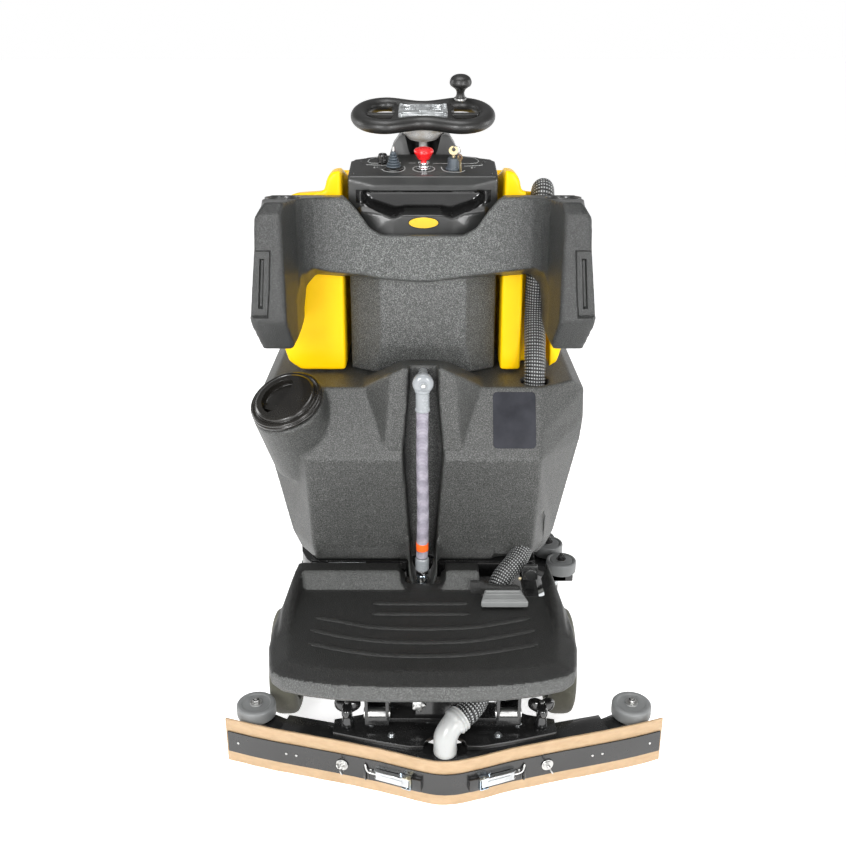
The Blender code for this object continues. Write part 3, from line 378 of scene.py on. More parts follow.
def ramp(t, fac, stops, ease="LINEAR"):
    n = t.nodes.new("ShaderNodeValToRGB")
    n.color_ramp.interpolation = ease
    els = n.color_ramp.elements
    while len(els) < len(stops):
        els.new(0.5)
    for e, (p, c) in zip(els, stops):
        e.position = p
        c = (c, c, c) if isinstance(c, (int, float)) else c
        e.color = (c[0], c[1], c[2], 1.0)
    t.links.new(fac, n.inputs["Fac"])
    return n.outputs["Color"]


def span(t, fac, a, b, lo=0.0, hi=1.0):
    n = t.nodes.new("ShaderNodeMapRange")
    n.inputs["From Min"].default_value = a
    n.inputs["From Max"].default_value = b
    n.inputs["To Min"].default_value = lo
    n.inputs["To Max"].default_value = hi
    t.links.new(fac, n.inputs["Value"])
    return n.outputs["Result"]


def math2(t, op, a, b):
    n = t.nodes.new("ShaderNodeMath")
    n.operation = op
    for i, x in enumerate((a, b)):
        if isinstance(x, (int, float)):
            n.inputs[i].default_value = x
        else:
            t.links.new(x, n.inputs[i])
    return n.outputs[0]


def mixc(t, fac, a, b, blend="MIX"):
    n = t.nodes.new("ShaderNodeMix")
    n.data_type = "RGBA"
    n.blend_type = blend
    if isinstance(fac, (int, float)):
        n.inputs[0].default_value = fac
    else:
        t.links.new(fac, n.inputs[0])
    for i, x in ((6, a), (7, b)):
        if isinstance(x, tuple):
            n.inputs[i].default_value = (x[0], x[1], x[2], 1.0)
        else:
            t.links.new(x, n.inputs[i])
    return n.outputs[2]


def bump(t, height, strength, dist, normal=None):
    n = t.nodes.new("ShaderNodeBump")
    n.inputs["Strength"].default_value = strength
    n.inputs["Distance"].default_value = dist
    t.links.new(height, n.inputs["Height"])
    if normal is not None:
        t.links.new(normal, n.inputs["Normal"])
    return n.outputs["Normal"]


def link(t, out, bsdf, name):
    t.links.new(out, bsdf.inputs[name])


def moulded(name, dark, light, grain, depth, rough=(0.42, 0.60), speck=(0.50, 0.66), coat=0.0, spec=0.5, painted_side_shade=0.0):
    """Rotomoulded plastic: orange peel, fine light flecks, faint handling marks, and optional painted shade towards the
    sides.
    """
    m, t, b = new_mat(name)
    v = coords(t)
    big = noise(t, v, 5.0, 4.0, 0.6)
    fleck = noise(t, v, grain, 2.0, 0.7)
    peel = noise(t, v, grain * 0.8, 2.5, 0.55)
    cells = voronoi(t, v, grain * 1.5, "SMOOTH_F1", 1.0)
    tone = mixc(t, span(t, big, 0.35, 0.65), dark, tuple(min(1.0, c * 1.35) for c in dark))
    amount = span(t, fleck, speck[0], speck[1])
    # Painted shade: with painted_side_shade set, the tone darkens and the flecks thin out with distance from the centre
    # plane, standing in for the weaker light on the outer parts.
    if painted_side_shade:
        sep = t.nodes.new("ShaderNodeSeparateXYZ")
        t.links.new(v, sep.inputs["Vector"])
        far = math2(t, "ABSOLUTE", math2(t, "ADD", sep.outputs["X"], -SHIFT.x), 0.0)
        amount = math2(t, "MULTIPLY", amount, span(t, far, 0.10, 0.27, 1.0, 1.0 - painted_side_shade))
        tone = mixc(t, span(t, far, 0.10, 0.28), tone, tuple(c * (1.0 - 0.8 * painted_side_shade) for c in dark))
    col = mixc(t, amount, tone, light)
    link(t, col, b, "Base Color")
    r = math2(t, "ADD", span(t, big, 0.3, 0.7, rough[0], rough[1]), span(t, fleck, 0.3, 0.7, -0.04, 0.04))
    link(t, r, b, "Roughness")
    h = math2(t, "ADD", peel, math2(t, "MULTIPLY", cells, 0.6))
    n1 = bump(t, h, 0.55, depth)
    scr = noise(t, coords(t, (6, 90, 30)), 4.0, 2.0, 0.5)
    n2 = bump(t, span(t, scr, 0.62, 0.75), 0.12, 0.0003, n1)
    link(t, n2, b, "Normal")
    b.inputs["Specular IOR Level"].default_value = spec
    b.inputs["Coat Weight"].default_value = coat
    return m


def plastic(name, col, rough, grain=300.0, depth=0.00012, vary=0.12, coat=0.0, edge=0.05, sss=0.0):
    """Injection-moulded or coated plastic with a faint grain."""
    m, t, b = new_mat(name)
    v = coords(t)
    big = noise(t, v, 14.0, 4.0, 0.6)
    fine = noise(t, v, grain, 3.0, 0.6)
    dark = tuple(c * (1 - vary) for c in col)
    lite = tuple(min(1.0, c * (1 + vary) + 0.002) for c in col)
    link(t, mixc(t, span(t, big, 0.3, 0.7), dark, lite), b, "Base Color")
    link(t, math2(t, "ADD", span(t, big, 0.3, 0.7, rough - edge, rough + edge), span(t, fine, 0.3, 0.7, -0.03, 0.03)),
         b, "Roughness")
    link(t, bump(t, fine, 0.5, depth), b, "Normal")
    b.inputs["Coat Weight"].default_value = coat
    b.inputs["Coat Roughness"].default_value = 0.08
    if sss:
        b.inputs["Subsurface Weight"].default_value = sss
        b.inputs["Subsurface Radius"].default_value = (0.004, 0.002, 0.001)
    return m


def metal(name, col, rough=0.28, stretch=(1, 1, 1), grain=180.0, depth=0.00006, stain=0.25, tint=None):
    """Bright metal with drawn or ground marks and slight stains."""
    m, t, b = new_mat(name)
    v = coords(t, stretch)
    v0 = coords(t)
    lines = noise(t, v, grain, 4.0, 0.6)
    spots = noise(t, v0, 30.0, 5.0, 0.65)
    lo = tuple(c * (1 - stain) for c in col) if tint is None else tint
    link(t, mixc(t, span(t, spots, 0.45, 0.75), col, lo), b, "Base Color")
    b.inputs["Metallic"].default_value = 1.0
    link(t, math2(t, "ADD", span(t, spots, 0.3, 0.8, rough - 0.05, rough + 0.14), span(t, lines, 0.3, 0.7, -0.05, 0.05)),
         b, "Roughness")
    link(t, bump(t, lines, 0.35, depth), b, "Normal")
    return m


M = {}
M["tank"] = moulded("mat_tank", (0.0125, 0.0130, 0.0122), (0.135, 0.138, 0.132), 570.0, 0.0015, rough=(0.34, 0.48), speck=(0.46, 0.72))
# bolster and knee panel: outer parts painted darker as painted shade (painted_side_shade)
M["bolster"] = moulded("mat_bolster", (0.0150, 0.0160, 0.0155), (0.200, 0.209, 0.202), 540.0, 0.0019, rough=(0.32, 0.44), speck=(0.46, 0.72), painted_side_shade=0.74)
M["knee"] = moulded("mat_knee", (0.0150, 0.0155, 0.0150), (0.190, 0.196, 0.188), 580.0, 0.0016, rough=(0.32, 0.42), speck=(0.46, 0.72), painted_side_shade=0.5)
M["deckplate"] = moulded("mat_platform", (0.0060, 0.0060, 0.0057), (0.050, 0.051, 0.048), 600.0, 0.0018, rough=(0.36, 0.50), speck=(0.50, 0.76), spec=0.32)
# lighter copy of the platform material, painted light for the faces turned towards the front lamps; mat_platform is the
# darker, shaded copy
M["lip"] = moulded("mat_platform_painted_lit", (0.0220, 0.0225, 0.0215), (0.150, 0.155, 0.150), 600.0, 0.0016, rough=(0.34, 0.46), speck=(0.45, 0.74))
M["satin"] = plastic("mat_satin_black", (0.0190, 0.0195, 0.0190), 0.36, 600.0, 0.00006, 0.15, coat=0.15)
M["gloss"] = plastic("mat_gloss_black", (0.0075, 0.0075, 0.0075), 0.16, 500.0, 0.00003, 0.15, coat=0.5)
M["wheel"] = plastic("mat_wheel_grip", (0.0125, 0.0122, 0.0117), 0.40, 900.0, 0.00012, 0.12)
M["yellow"] = plastic("mat_yellow", (0.86, 0.520, 0.0004), 0.34, 90.0, 0.00006, 0.035, coat=0.0, sss=0.0)
M["yellow"].node_tree.nodes["Principled BSDF"].inputs["Specular IOR Level"].default_value = 0.16
M["paint"] = plastic("mat_black_paint", (0.010, 0.010, 0.010), 0.24, 260.0, 0.00016, 0.2, coat=0.35)
M["grey"] = plastic("mat_grey_plastic", (0.335, 0.34, 0.335), 0.42, 380.0, 0.00012, 0.08)
M["pedal"] = plastic("mat_pedal", (0.215, 0.220, 0.218), 0.45, 420.0, 0.00015, 0.10)
M["roller"] = plastic("mat_grey_roller", (0.150, 0.155, 0.155), 0.46, 300.0, 0.00018, 0.14)
M["elbow"] = plastic("mat_light_grey", (0.345, 0.350, 0.345), 0.32, 260.0, 0.00010, 0.05, coat=0.15, sss=0.05)
M["sleeve"] = plastic("mat_sleeve", (0.235, 0.250, 0.262), 0.26, 260.0, 0.00008, 0.08, coat=0.3)
M["rubber"] = plastic("mat_boot", (0.052, 0.066, 0.080), 0.40, 420.0, 0.0001, 0.18)
M["red"] = plastic("mat_red", (0.62, 0.008, 0.010), 0.24, 300.0, 0.00005, 0.08, coat=0.4)
M["orange"] = plastic("mat_orange", (0.95, 0.13, 0.015), 0.3, 300.0, 0.00005, 0.06)
M["print"] = plastic("mat_white_line", (0.50, 0.51, 0.50), 0.55, 500.0, 0.00003, 0.12)
M["badge"] = plastic("mat_badge", (0.70, 0.43, 0.004), 0.30, 300.0, 0.00005, 0.05, coat=0.5)
M["label"] = plastic("mat_label", (0.026, 0.027, 0.033), 0.20, 120.0, 0.00005, 0.25, coat=0.3)
M["battery"] = plastic("mat_battery", (0.020, 0.022, 0.026), 0.5, 300.0, 0.0002, 0.2)
M["cap"] = plastic("mat_cap", (0.0085, 0.0075, 0.0060), 0.24, 420.0, 0.00008, 0.25, coat=0.25)
M["zinc"] = metal("mat_zinc", (0.58, 0.60, 0.61), 0.30, (3, 3, 1), 160.0, 0.00008, 0.35)
M["zincblue"] = metal("mat_zinc_blue", (0.50, 0.58, 0.66), 0.24, (1, 1, 1), 200.0, 0.00006, 0.4, tint=(0.62, 0.55, 0.34))
M["chrome"] = metal("mat_chrome", (0.75, 0.75, 0.76), 0.10, (1, 1, 1), 200.0, 0.00002, 0.15)
M["steel"] = metal("mat_steel", (0.55, 0.55, 0.54), 0.32, (1, 1, 6), 220.0, 0.00010, 0.25)
M["brass"] = metal("mat_brass", (0.60, 0.49, 0.27), 0.28, (1, 1, 1), 260.0, 0.00012, 0.4, tint=(0.50, 0.47, 0.40))
M["bowl"] = metal("mat_bowl", (0.80, 0.795, 0.78), 0.26, (2, 2, 40), 90.0, 0.00006, 0.2, tint=(0.50, 0.44, 0.34))
M["bowl"].node_tree.nodes["Principled BSDF"].inputs["Metallic"].default_value = 0.45


def tyre_mat(name, col):
    m, t, b = new_mat(name)
    v = coords(t)
    big, fine = noise(t, v, 12.0, 5.0, 0.65), noise(t, v, 520.0, 3.0, 0.6)
    dust = noise(t, v, 45.0, 4.0, 0.7)
    base = mixc(t, span(t, big, 0.3, 0.7), tuple(c * 0.75 for c in col), tuple(c * 1.2 for c in col))
    link(t, mixc(t, span(t, dust, 0.55, 0.85, 0.0, 0.5), base, tuple(min(1.0, c * 2.1) for c in col)), b, "Base Color")
    link(t, span(t, fine, 0.3, 0.7, 0.62, 0.82), b, "Roughness")
    link(t, bump(t, fine, 0.6, 0.0004), b, "Normal")
    return m


M["tyre"] = tyre_mat("mat_tyre", (0.078, 0.077, 0.058))
M["skirt"] = tyre_mat("mat_skirt", (0.075, 0.078, 0.072))


def blade_mat():
    m, t, b = new_mat("mat_blade")
    fib = noise(t, coords(t, (30, 30, 420)), 2.2, 4.0, 0.6)
    mott = noise(t, coords(t, (1, 1, 2.5)), 38.0, 5.0, 0.62, 0.4)
    base = mixc(t, span(t, mott, 0.3, 0.72), (0.335, 0.222, 0.118), (0.420, 0.295, 0.175))
    link(t, mixc(t, span(t, fib, 0.5, 0.8, 0.0, 0.35), base, (0.285, 0.185, 0.095)), b, "Base Color")
    link(t, span(t, mott, 0.3, 0.7, 0.42, 0.60), b, "Roughness")
    b.inputs["Subsurface Weight"].default_value = 0.12
    b.inputs["Subsurface Radius"].default_value = (0.003, 0.0015, 0.0007)
    b.inputs["Sheen Weight"].default_value = 0.10
    link(t, bump(t, math2(t, "ADD", fib, mott), 0.35, 0.00018), b, "Normal")
    return m


M["blade"] = blade_mat()


def hose_mat(name, around, pitch, bead_glint, dark, gloss, alpha=None):
    """Spiral hose: black, with painted highlights in a pale colour on the raised beads and a dark web between them,
    read from the hose's own UV (turns, metres).
    """
    m, t, b = new_mat(name)
    uv = t.nodes.new("ShaderNodeUVMap")
    uv.uv_map = "UVMap"
    sep = t.nodes.new("ShaderNodeSeparateXYZ")
    t.links.new(uv.outputs["UV"], sep.inputs["Vector"])
    s = math2(t, "ADD", math2(t, "DIVIDE", sep.outputs["Y"], pitch), sep.outputs["X"])
    frac = math2(t, "FRACT", s, 0.0)
    band = span(t, math2(t, "ABSOLUTE", math2(t, "SUBTRACT", frac, 0.5), 0.0), 0.20, 0.26)
    web = math2(t, "FRACT", math2(t, "MULTIPLY", sep.outputs["X"], around), 0.0)
    cross = span(t, math2(t, "ABSOLUTE", math2(t, "SUBTRACT", web, 0.5), 0.0), 0.20, 0.30)
    grime = noise(t, coords(t), 60.0, 4.0, 0.6)
    # lit: the raised beads, painted with the pale highlight colour over the black hose
    lit = math2(t, "MULTIPLY", math2(t, "SUBTRACT", 1.0, band), math2(t, "SUBTRACT", 1.0, cross))
    shade = mixc(t, span(t, grime, 0.3, 0.8, 0.0, 0.35), bead_glint, tuple(c * 0.6 for c in bead_glint))
    link(t, mixc(t, lit, dark, shade), b, "Base Color")
    link(t, span(t, lit, 0.0, 1.0, gloss + 0.2, gloss), b, "Roughness")
    link(t, bump(t, lit, 0.5, 0.0006), b, "Normal")
    return m


# black suction hose with painted highlights on its beads
M["hose"] = hose_mat("mat_suction_hose", 26.0, 0.0062, (0.36, 0.37, 0.37), (0.008, 0.008, 0.008), 0.22)


def clear_hose_mat():
    m, t, b = new_mat("mat_clear_hose")
    v = coords(t)
    sep = t.nodes.new("ShaderNodeSeparateXYZ")
    t.links.new(v, sep.inputs["Vector"])
    rib = span(t, math2(t, "SINE", math2(t, "MULTIPLY", sep.outputs["Z"], 2100.0), 0.0), -0.9, 0.6)
    n = noise(t, v, 50.0, 4.0, 0.6)
    tint = mixc(t, span(t, n, 0.3, 0.7), (0.40, 0.37, 0.44), (0.58, 0.56, 0.62))
    link(t, mixc(t, rib, (0.27, 0.25, 0.30), tint), b, "Base Color")
    b.inputs["Transmission Weight"].default_value = 0.35
    b.inputs["IOR"].default_value = 1.40
    link(t, span(t, n, 0.3, 0.7, 0.10, 0.2), b, "Roughness")
    link(t, bump(t, rib, 0.2, 0.0002), b, "Normal")
    return m


M["clear"] = clear_hose_mat()


def cover_mat():
    m, t, b = new_mat("mat_clear_cover")
    v = coords(t)
    n, f = noise(t, v, 60.0, 5.0, 0.6), noise(t, v, 420.0, 3.0, 0.6)
    link(t, mixc(t, span(t, n, 0.35, 0.65), (0.22, 0.23, 0.235), (0.52, 0.54, 0.55)), b, "Base Color")
    link(t, span(t, f, 0.3, 0.7, 0.12, 0.3), b, "Roughness")
    b.inputs["Metallic"].default_value = 0.35
    b.inputs["Coat Weight"].default_value = 0.6
    link(t, bump(t, n, 0.4, 0.0008), b, "Normal")
    return m


M["cover"] = cover_mat()


def bristle_mat():
    m, t, b = new_mat("mat_bristle")
    f = noise(t, coords(t, (900, 900, 14)), 1.0, 3.0, 0.6)
    g = noise(t, coords(t), 40.0, 4.0, 0.6)
    base = mixc(t, span(t, f, 0.35, 0.65), (0.045, 0.06, 0.085), (0.16, 0.20, 0.26))
    link(t, mixc(t, span(t, g, 0.5, 0.8, 0.0, 0.4), base, (0.20, 0.20, 0.19)), b, "Base Color")
    link(t, span(t, f, 0.3, 0.7, 0.45, 0.65), b, "Roughness")
    link(t, bump(t, f, 0.8, 0.0012), b, "Normal")
    return m


M["bristle"] = bristle_mat()


# ============================================================== object makers
def make(name, bm, look, body_name, smooth=40, replaces=(), shift=True):
    if shift:
        bmesh.ops.translate(bm, verts=bm.verts, vec=SHIFT)
    me = bpy.data.meshes.new(name)
    bm.to_mesh(me)
    bm.free()
    me.shade_smooth()
    me.set_sharp_from_angle(angle=radians(smooth))
    me.materials.append(M[look])
    o = bpy.data.objects.new(name, me)
    COLL.objects.link(o)
    if body_name:
        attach(o, body_name)
    if replaces:
        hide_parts(*replaces)
        DONE.update(replaces)
    return o


def cad(node, dissolve=1.0):
    """A bmesh of a CAD node in the row frame, its triangles merged to flat faces."""
    o = NODES[node]
    bm = bmesh.new()
    bm.from_mesh(o.data)
    bm.transform(o.matrix_world)
    bmesh.ops.remove_doubles(bm, verts=bm.verts, dist=1e-5)
    if dissolve:
        bmesh.ops.dissolve_limit(bm, angle_limit=radians(dissolve), verts=bm.verts, edges=bm.edges)
    return bm


def boolean(o, bms, op):
    """Cut or add rough tools (row frame after shifting) with the exact solver."""
    for i, bm in enumerate(bms):
        bmesh.ops.translate(bm, verts=bm.verts, vec=SHIFT)
        me = bpy.data.meshes.new(o.name + "_tool")
        bm.to_mesh(me)
        bm.free()
        tool = bpy.data.objects.new("tool", me)
        COLL.objects.link(tool)
        m = o.modifiers.new("b", "BOOLEAN")
        m.operation, m.solver, m.object = op, "EXACT", tool
        freeze(o)
        bpy.data.objects.remove(tool, do_unlink=True)


def freeze(o):
    """The object's mesh becomes what its modifiers make of it."""
    dg = bpy.context.evaluated_depsgraph_get()
    me = bpy.data.meshes.new_from_object(o.evaluated_get(dg))
    mats = [m for m in o.data.materials]
    o.modifiers.clear()
    o.data = me
    me.materials.clear()
    for m in mats:
        me.materials.append(m)


def soft_body(node, look, body_name, voxel=0.004, rounds=8, factor=0.5, add=(), cut=(), name=None):
    """A moulded shell: the CAD solid with its extra detail, rounded over all edges."""
    bm = cad(node)
    me = bpy.data.meshes.new(name or node + "_skin")
    bm.to_mesh(me)
    bm.free()
    me.materials.append(M[look])
    o = bpy.data.objects.new(name or node + "_skin", me)
    COLL.objects.link(o)
    boolean(o, list(add), "UNION")
    boolean(o, list(cut), "DIFFERENCE")
    r = o.modifiers.new("r", "REMESH")
    r.mode, r.voxel_size, r.use_smooth_shade = "VOXEL", voxel * 1.0, True
    s = o.modifiers.new("s", "SMOOTH")
    s.factor, s.iterations = factor, rounds
    freeze(o)
    o.data.shade_smooth()
    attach(o, body_name)
    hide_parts(node)
    DONE.add(node)
    return o


def hard_body(node, look, body_name, width=0.0015, seg=2, angle=28, smooth=40, add=(), cut=()):
    """A pressed, machined or moulded piece: the CAD solid with its edges broken."""
    bm = cad(node)
    me = bpy.data.meshes.new(node + "_skin")
    bm.to_mesh(me)
    bm.free()
    me.materials.append(M[look])
    o = bpy.data.objects.new(node + "_skin", me)
    COLL.objects.link(o)
    boolean(o, list(add), "UNION")
    boolean(o, list(cut), "DIFFERENCE")
    b = o.modifiers.new("b", "BEVEL")
    b.width, b.segments, b.limit_method, b.angle_limit = width, seg, "ANGLE", radians(angle)
    b.harden_normals = False
    b.miter_outer = "MITER_ARC"
    freeze(o)
    o.data.shade_smooth()
    o.data.set_sharp_from_angle(angle=radians(smooth))
    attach(o, body_name)
    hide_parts(node)
    DONE.add(node)
    return o


def tree_of(o):
    dg = bpy.context.evaluated_depsgraph_get()
    return BVHTree.FromObject(o, dg)


BODY_OF = {}
for bname, b in frame["record"]["behaviour"]["bodies"].items():
    for n in b:
        BODY_OF[n] = bname

# ============================================================ shared positions
def V(*a):
    return Vector(a)


WHEEL_C = V(0.0, 0.556, 1.182)
TILT = radians(12.0)
WN, WB, WX = V(0, -sin(TILT), cos(TILT)), V(0, cos(TILT), sin(TILT)), V(1, 0, 0)
PN = V(0, -0.15, 1).normalized()
PB = V(0, 1, 0.15).normalized()
pz = lambda y: 1.079 + (y - 0.370) * 0.150
LEV, STOP, KEY = V(-0.061, 0.418, pz(0.418)), V(0.0015, 0.420, pz(0.420)), V(0.063, 0.418, pz(0.418))
DIAL = V(-0.085, 0.462, pz(0.462))
CAP_C, CAP_N = V(-0.280, 0.235, 0.635), V(-0.26, -0.42, 0.87).normalized()
SQ_X = 0.0415


def wp(a, b, n=0.0):
    return WHEEL_C + WX * a + WB * b + WN * n


def tank_skin():
    """Solution tank: softened shell with the filler neck and boss."""
    return soft_body("solution_tank", "tank", "base", 0.0042, 5, 0.5)


TANK = tank_skin()
TANK_TREE = tree_of(TANK)


def surface(tree, x, z, y0=-0.6, way=(0, 1, 0), y=None):
    """Where a line from (x, y0, z) meets a skin: point and outward normal, machine frame."""
    p = V(x, y0, z) + SHIFT
    hit, nrm, _, _ = tree.ray_cast(p, Vector(way))
    nrm = nrm if nrm.dot(Vector(way)) < 0 else -nrm
    return hit - SHIFT, nrm


def fit_plane(tree, pts):
    hits = [surface(tree, x, z) for x, z in pts]
    c = sum((h[0] for h in hits), Vector()) / len(hits)
    n = sum((h[1] for h in hits), Vector()).normalized()
    u = (V(1, 0, 0) - n * n.x).normalized()
    v = n.cross(u) * -1.0
    v = v if v.z > 0 else -v
    return c, u, v, n


# blank glossy label, right of the boss
c, u, v, n = fit_plane(TANK_TREE, [(0.187, 0.606), (0.187, 0.60), (0.195, 0.603)])
make("tank_label", slab(rounded_rect(0.089, 0.118, 0.009), c, u, v, n, -0.0012, 0.0007), "label", "base")
# plain raised square by the filler and a level tick, without any lettering
for nm, x, z, w_, h_, rot in (("fill_mark", -0.190, 0.604, 0.050, 0.052, -12),):
    c, u, v, n = fit_plane(TANK_TREE, [(x, z), (x + 0.01, z), (x, z + 0.01)])
    R = Matrix.Rotation(radians(rot), 3, n)
    u2, v2 = R @ u, R @ v
    out, inn = rounded_rect(w_, h_, 0.008), rounded_rect(w_ - 0.006, h_ - 0.006, 0.006)
    verts, faces = [], []
    k = len(out)
    for pts, t in ((out, -0.001), (out, 0.0007), (inn, 0.0007), (inn, -0.001)):
        verts += [c + u2 * a + v2 * b + n * t for a, b in pts]
    for r in range(4):
        for i in range(k):
            j = (i + 1) % k
            s = (r + 1) % 4
            faces.append((r * k + i, r * k + j, s * k + j, s * k + i))
    frame_bm = body(verts, faces)
    drop = []
    for a, b, rr in ((0.0, 0.004, 0.0075),):
        drop.append(slab([(a + rr * cos(t) * 0.9, b + rr * sin(t)) for t in [2 * pi * i / 20 for i in range(20)]],
                         c, u2, v2, n, -0.001, 0.0008))
    make(nm, join(frame_bm, *drop), "tank", "base")
c, u, v, n = fit_plane(TANK_TREE, [(0.062, 0.592), (0.066, 0.592), (0.062, 0.596)])
make("level_tick", slab([(-0.010, -0.0008), (0.010, -0.0008), (0.010, 0.0008), (-0.010, 0.0008)], c, u, v, n, -0.001, 0.0004),
     "satin", "base")

# ============================================================ filler cap
cu, cv, cw = frame_of(CAP_N)
prof = rounded([(0, -0.030), (0.056, -0.030), (0.0585, -0.004), (0.060, 0.0006), (0.0730, 0.0006), (0.0775, 0.0035),
                (0.0775, 0.0085), (0.0745, 0.0098), (0.0745, 0.0118), (0.0768, 0.0130), (0.0760, 0.0160), (0.0700, 0.0172),
                (0.0680, 0.0150), (0.0655, 0.0150), (0.0640, 0.0205), (0.0600, 0.0225), (0, 0.0235)], 0.0016, 3)
cap_bm = lathe(prof, CAP_C, CAP_N, 96)
cap_o = make("filler_cap_skin", cap_bm, "cap", "cap", 40, ("filler_cap",))
moon = []
for k in range(15):
    t = pi / 2 + 0.22 + (pi - 0.44) * k / 14
    moon.append((0.050 * cos(t) + 0.0, 0.050 * sin(t)))
moon = [(-0.002, 0.040), (0.003, 0.020), (0.005, 0.0), (0.003, -0.020), (-0.002, -0.040)][::-1] + moon


def cap_pts(pts, h, k=1.0):
    return [CAP_C + cu * (a * k - 0.022 * (1 - k)) + cv * (b * k) + cw * h for a, b in pts]


boolean(cap_o, [loft([cap_pts(moon, 0.0085, 0.90), cap_pts(moon, 0.0150, 0.96), cap_pts(moon, 0.0300, 1.02)])], "DIFFERENCE")
bv = cap_o.modifiers.new("b", "BEVEL")
bv.width, bv.segments, bv.limit_method, bv.angle_limit = 0.0011, 2, "ANGLE", radians(38)
freeze(cap_o)
cap_o.data.shade_smooth()
cap_o.data.set_sharp_from_angle(angle=radians(42))
# a lip across the bottom of the finger recess
make("cap_ledge", bevel(hull([CAP_C + cu * a + cv * b + cw * h for a, b in ((-0.034, -0.034), (-0.003, -0.036), (-0.003, -0.020),
                                                                      (-0.040, -0.018)) for h in (0.007, 0.0135)]), 0.0012, 2),
     "cap", "cap")

# ============================================================ sight hose
SX, SY = -0.001, 0.178
path = smooth_path([V(SX - 0.001, SY, 0.3062), V(SX + 0.001, SY - 0.0010, 0.42), V(SX - 0.0005, SY - 0.0008, 0.53), V(SX, SY, 0.6404)],
                   0.00055)


def ringed(s, t):
    q = (s / 0.0033) % 1.0
    return 0.0113 + 0.0014 * max(0.0, 1 - abs(q - 0.5) / 0.34) ** 0.7


make("sight_hose_tube", sweep(path, ringed, 28), "clear", "base", 60, ("sight_hose",))
make("sight_hose_float", ring(V(SX - 0.0006, SY, 0.3235), V(SX - 0.0006, SY, 0.3415), 0.01315, 0.0108, 40, 0.001), "orange", "base")
elb = [lathe(rounded([(0, -0.0105), (0.0135, -0.0105), (0.0175, -0.0085), (0.0205, -0.0050), (0.0215, 0.0), (0.0208, 0.008),
                      (0.014, 0.016), (0.011, 0.024), (0.011, 0.0685), (0, 0.0685)], 0.0014, 3), V(0, 0.176, 0.700), (0, 1, 0), 48),
       lathe(rounded([(0, 0.0), (0.0142, 0.0), (0.0152, 0.0015), (0.0152, 0.0060), (0.0140, 0.0075), (0.0140, 0.0400), (0.0158, 0.042),
                      (0.0158, 0.047), (0.0100, 0.0500), (0, 0.0500)], 0.0008, 2), V(SX, SY, 0.6405), (0, 0, 1), 40)]
make("sight_elbow_body", join(*elb), "sleeve", "base", 40, ("sight_hose_elbow",))
sc = V(0.0005, 0.1655, 0.698)
make("sight_elbow_screw", lathe(rounded([(0, -0.0035), (0.0012, -0.0035), (0.0012, -0.0026), (0.0038, -0.0024), (0.0048, -0.0010), (0.0048, 0.0),
                                         (0, 0.0)], 0.0004, 2), sc, (0, 1, 0), 24), "steel", "base")
make("sight_elbow_ring", ring(V(0.0005, 0.1642, 0.698), V(0.0005, 0.1662, 0.698), 0.0092, 0.0070, 36, 0.0006), "sleeve", "base")
make("sight_sleeve_low", lathe(rounded([(0.0112, 0.2775), (0.0140, 0.2775), (0.0147, 0.279), (0.0147, 0.302), (0.0135, 0.3056),
                                        (0.0112, 0.3056)], 0.0007, 2), V(SX - 0.001, SY, 0), (0, 0, 1), 40, closed=True),
     "sleeve", "base", 40, ("sight_hose_fitting",))
nut = []
for k in range(6):
    a = pi / 6 + k * pi / 3
    nut.append((0.0152 * cos(a), 0.0152 * sin(a)))
make("sight_nut", join(bevel(loft([[V(SX - 0.001 + a, SY + b, z) for a, b in nut] for z in (0.2688, 0.2770)]), 0.0008, 2),
                       ring(V(SX - 0.001, SY, 0.2655), V(SX - 0.001, SY, 0.2690), 0.0128, 0.006, 36, 0.0006)), "chrome", "base")
make("sight_tail", lathe(rounded([(0, 0.2400), (0.0078, 0.2400), (0.0098, 0.2430), (0.0120, 0.2520), (0.0120, 0.2640), (0.0105, 0.2656),
                                  (0, 0.2656)], 0.0010, 3), V(SX - 0.001, SY, 0), (0, 0, 1), 40), "zincblue", "base")
clips = [bevel(hull([V(SX - 0.001 + s * a, SY + b, z) for a, b, z in ((0.0095, -0.004, 0.266), (0.0125, -0.004, 0.266), (0.0095, 0.004, 0.266),
                                                                 (0.0125, 0.004, 0.266), (0.0085, -0.004, 0.246), (0.0140, -0.004, 0.256),
                                                                 (0.0085, 0.004, 0.246), (0.0140, 0.004, 0.256))]), 0.0006, 1) for s in (-1, 1)]
make("sight_clips", join(*clips), "chrome", "base")

# ============================================================ recovery tank, lid, knee panel
soft_body("recovery_tank", "yellow", "base", 0.0042, 14, 0.5)
hard_body("recovery_lid", "yellow", "tank_lid", 0.0045, 4, 25, 50)
wedge = hull([V(x, y, z) for x in (-0.3, 0.3) for y, z in ((0.30, 0.60), (0.30, 0.742), (0.3285, 0.742), (0.352, 0.62))])
soft_body("knee_panel", "knee", "base", 0.0035, 5, 0.5, cut=[wedge])

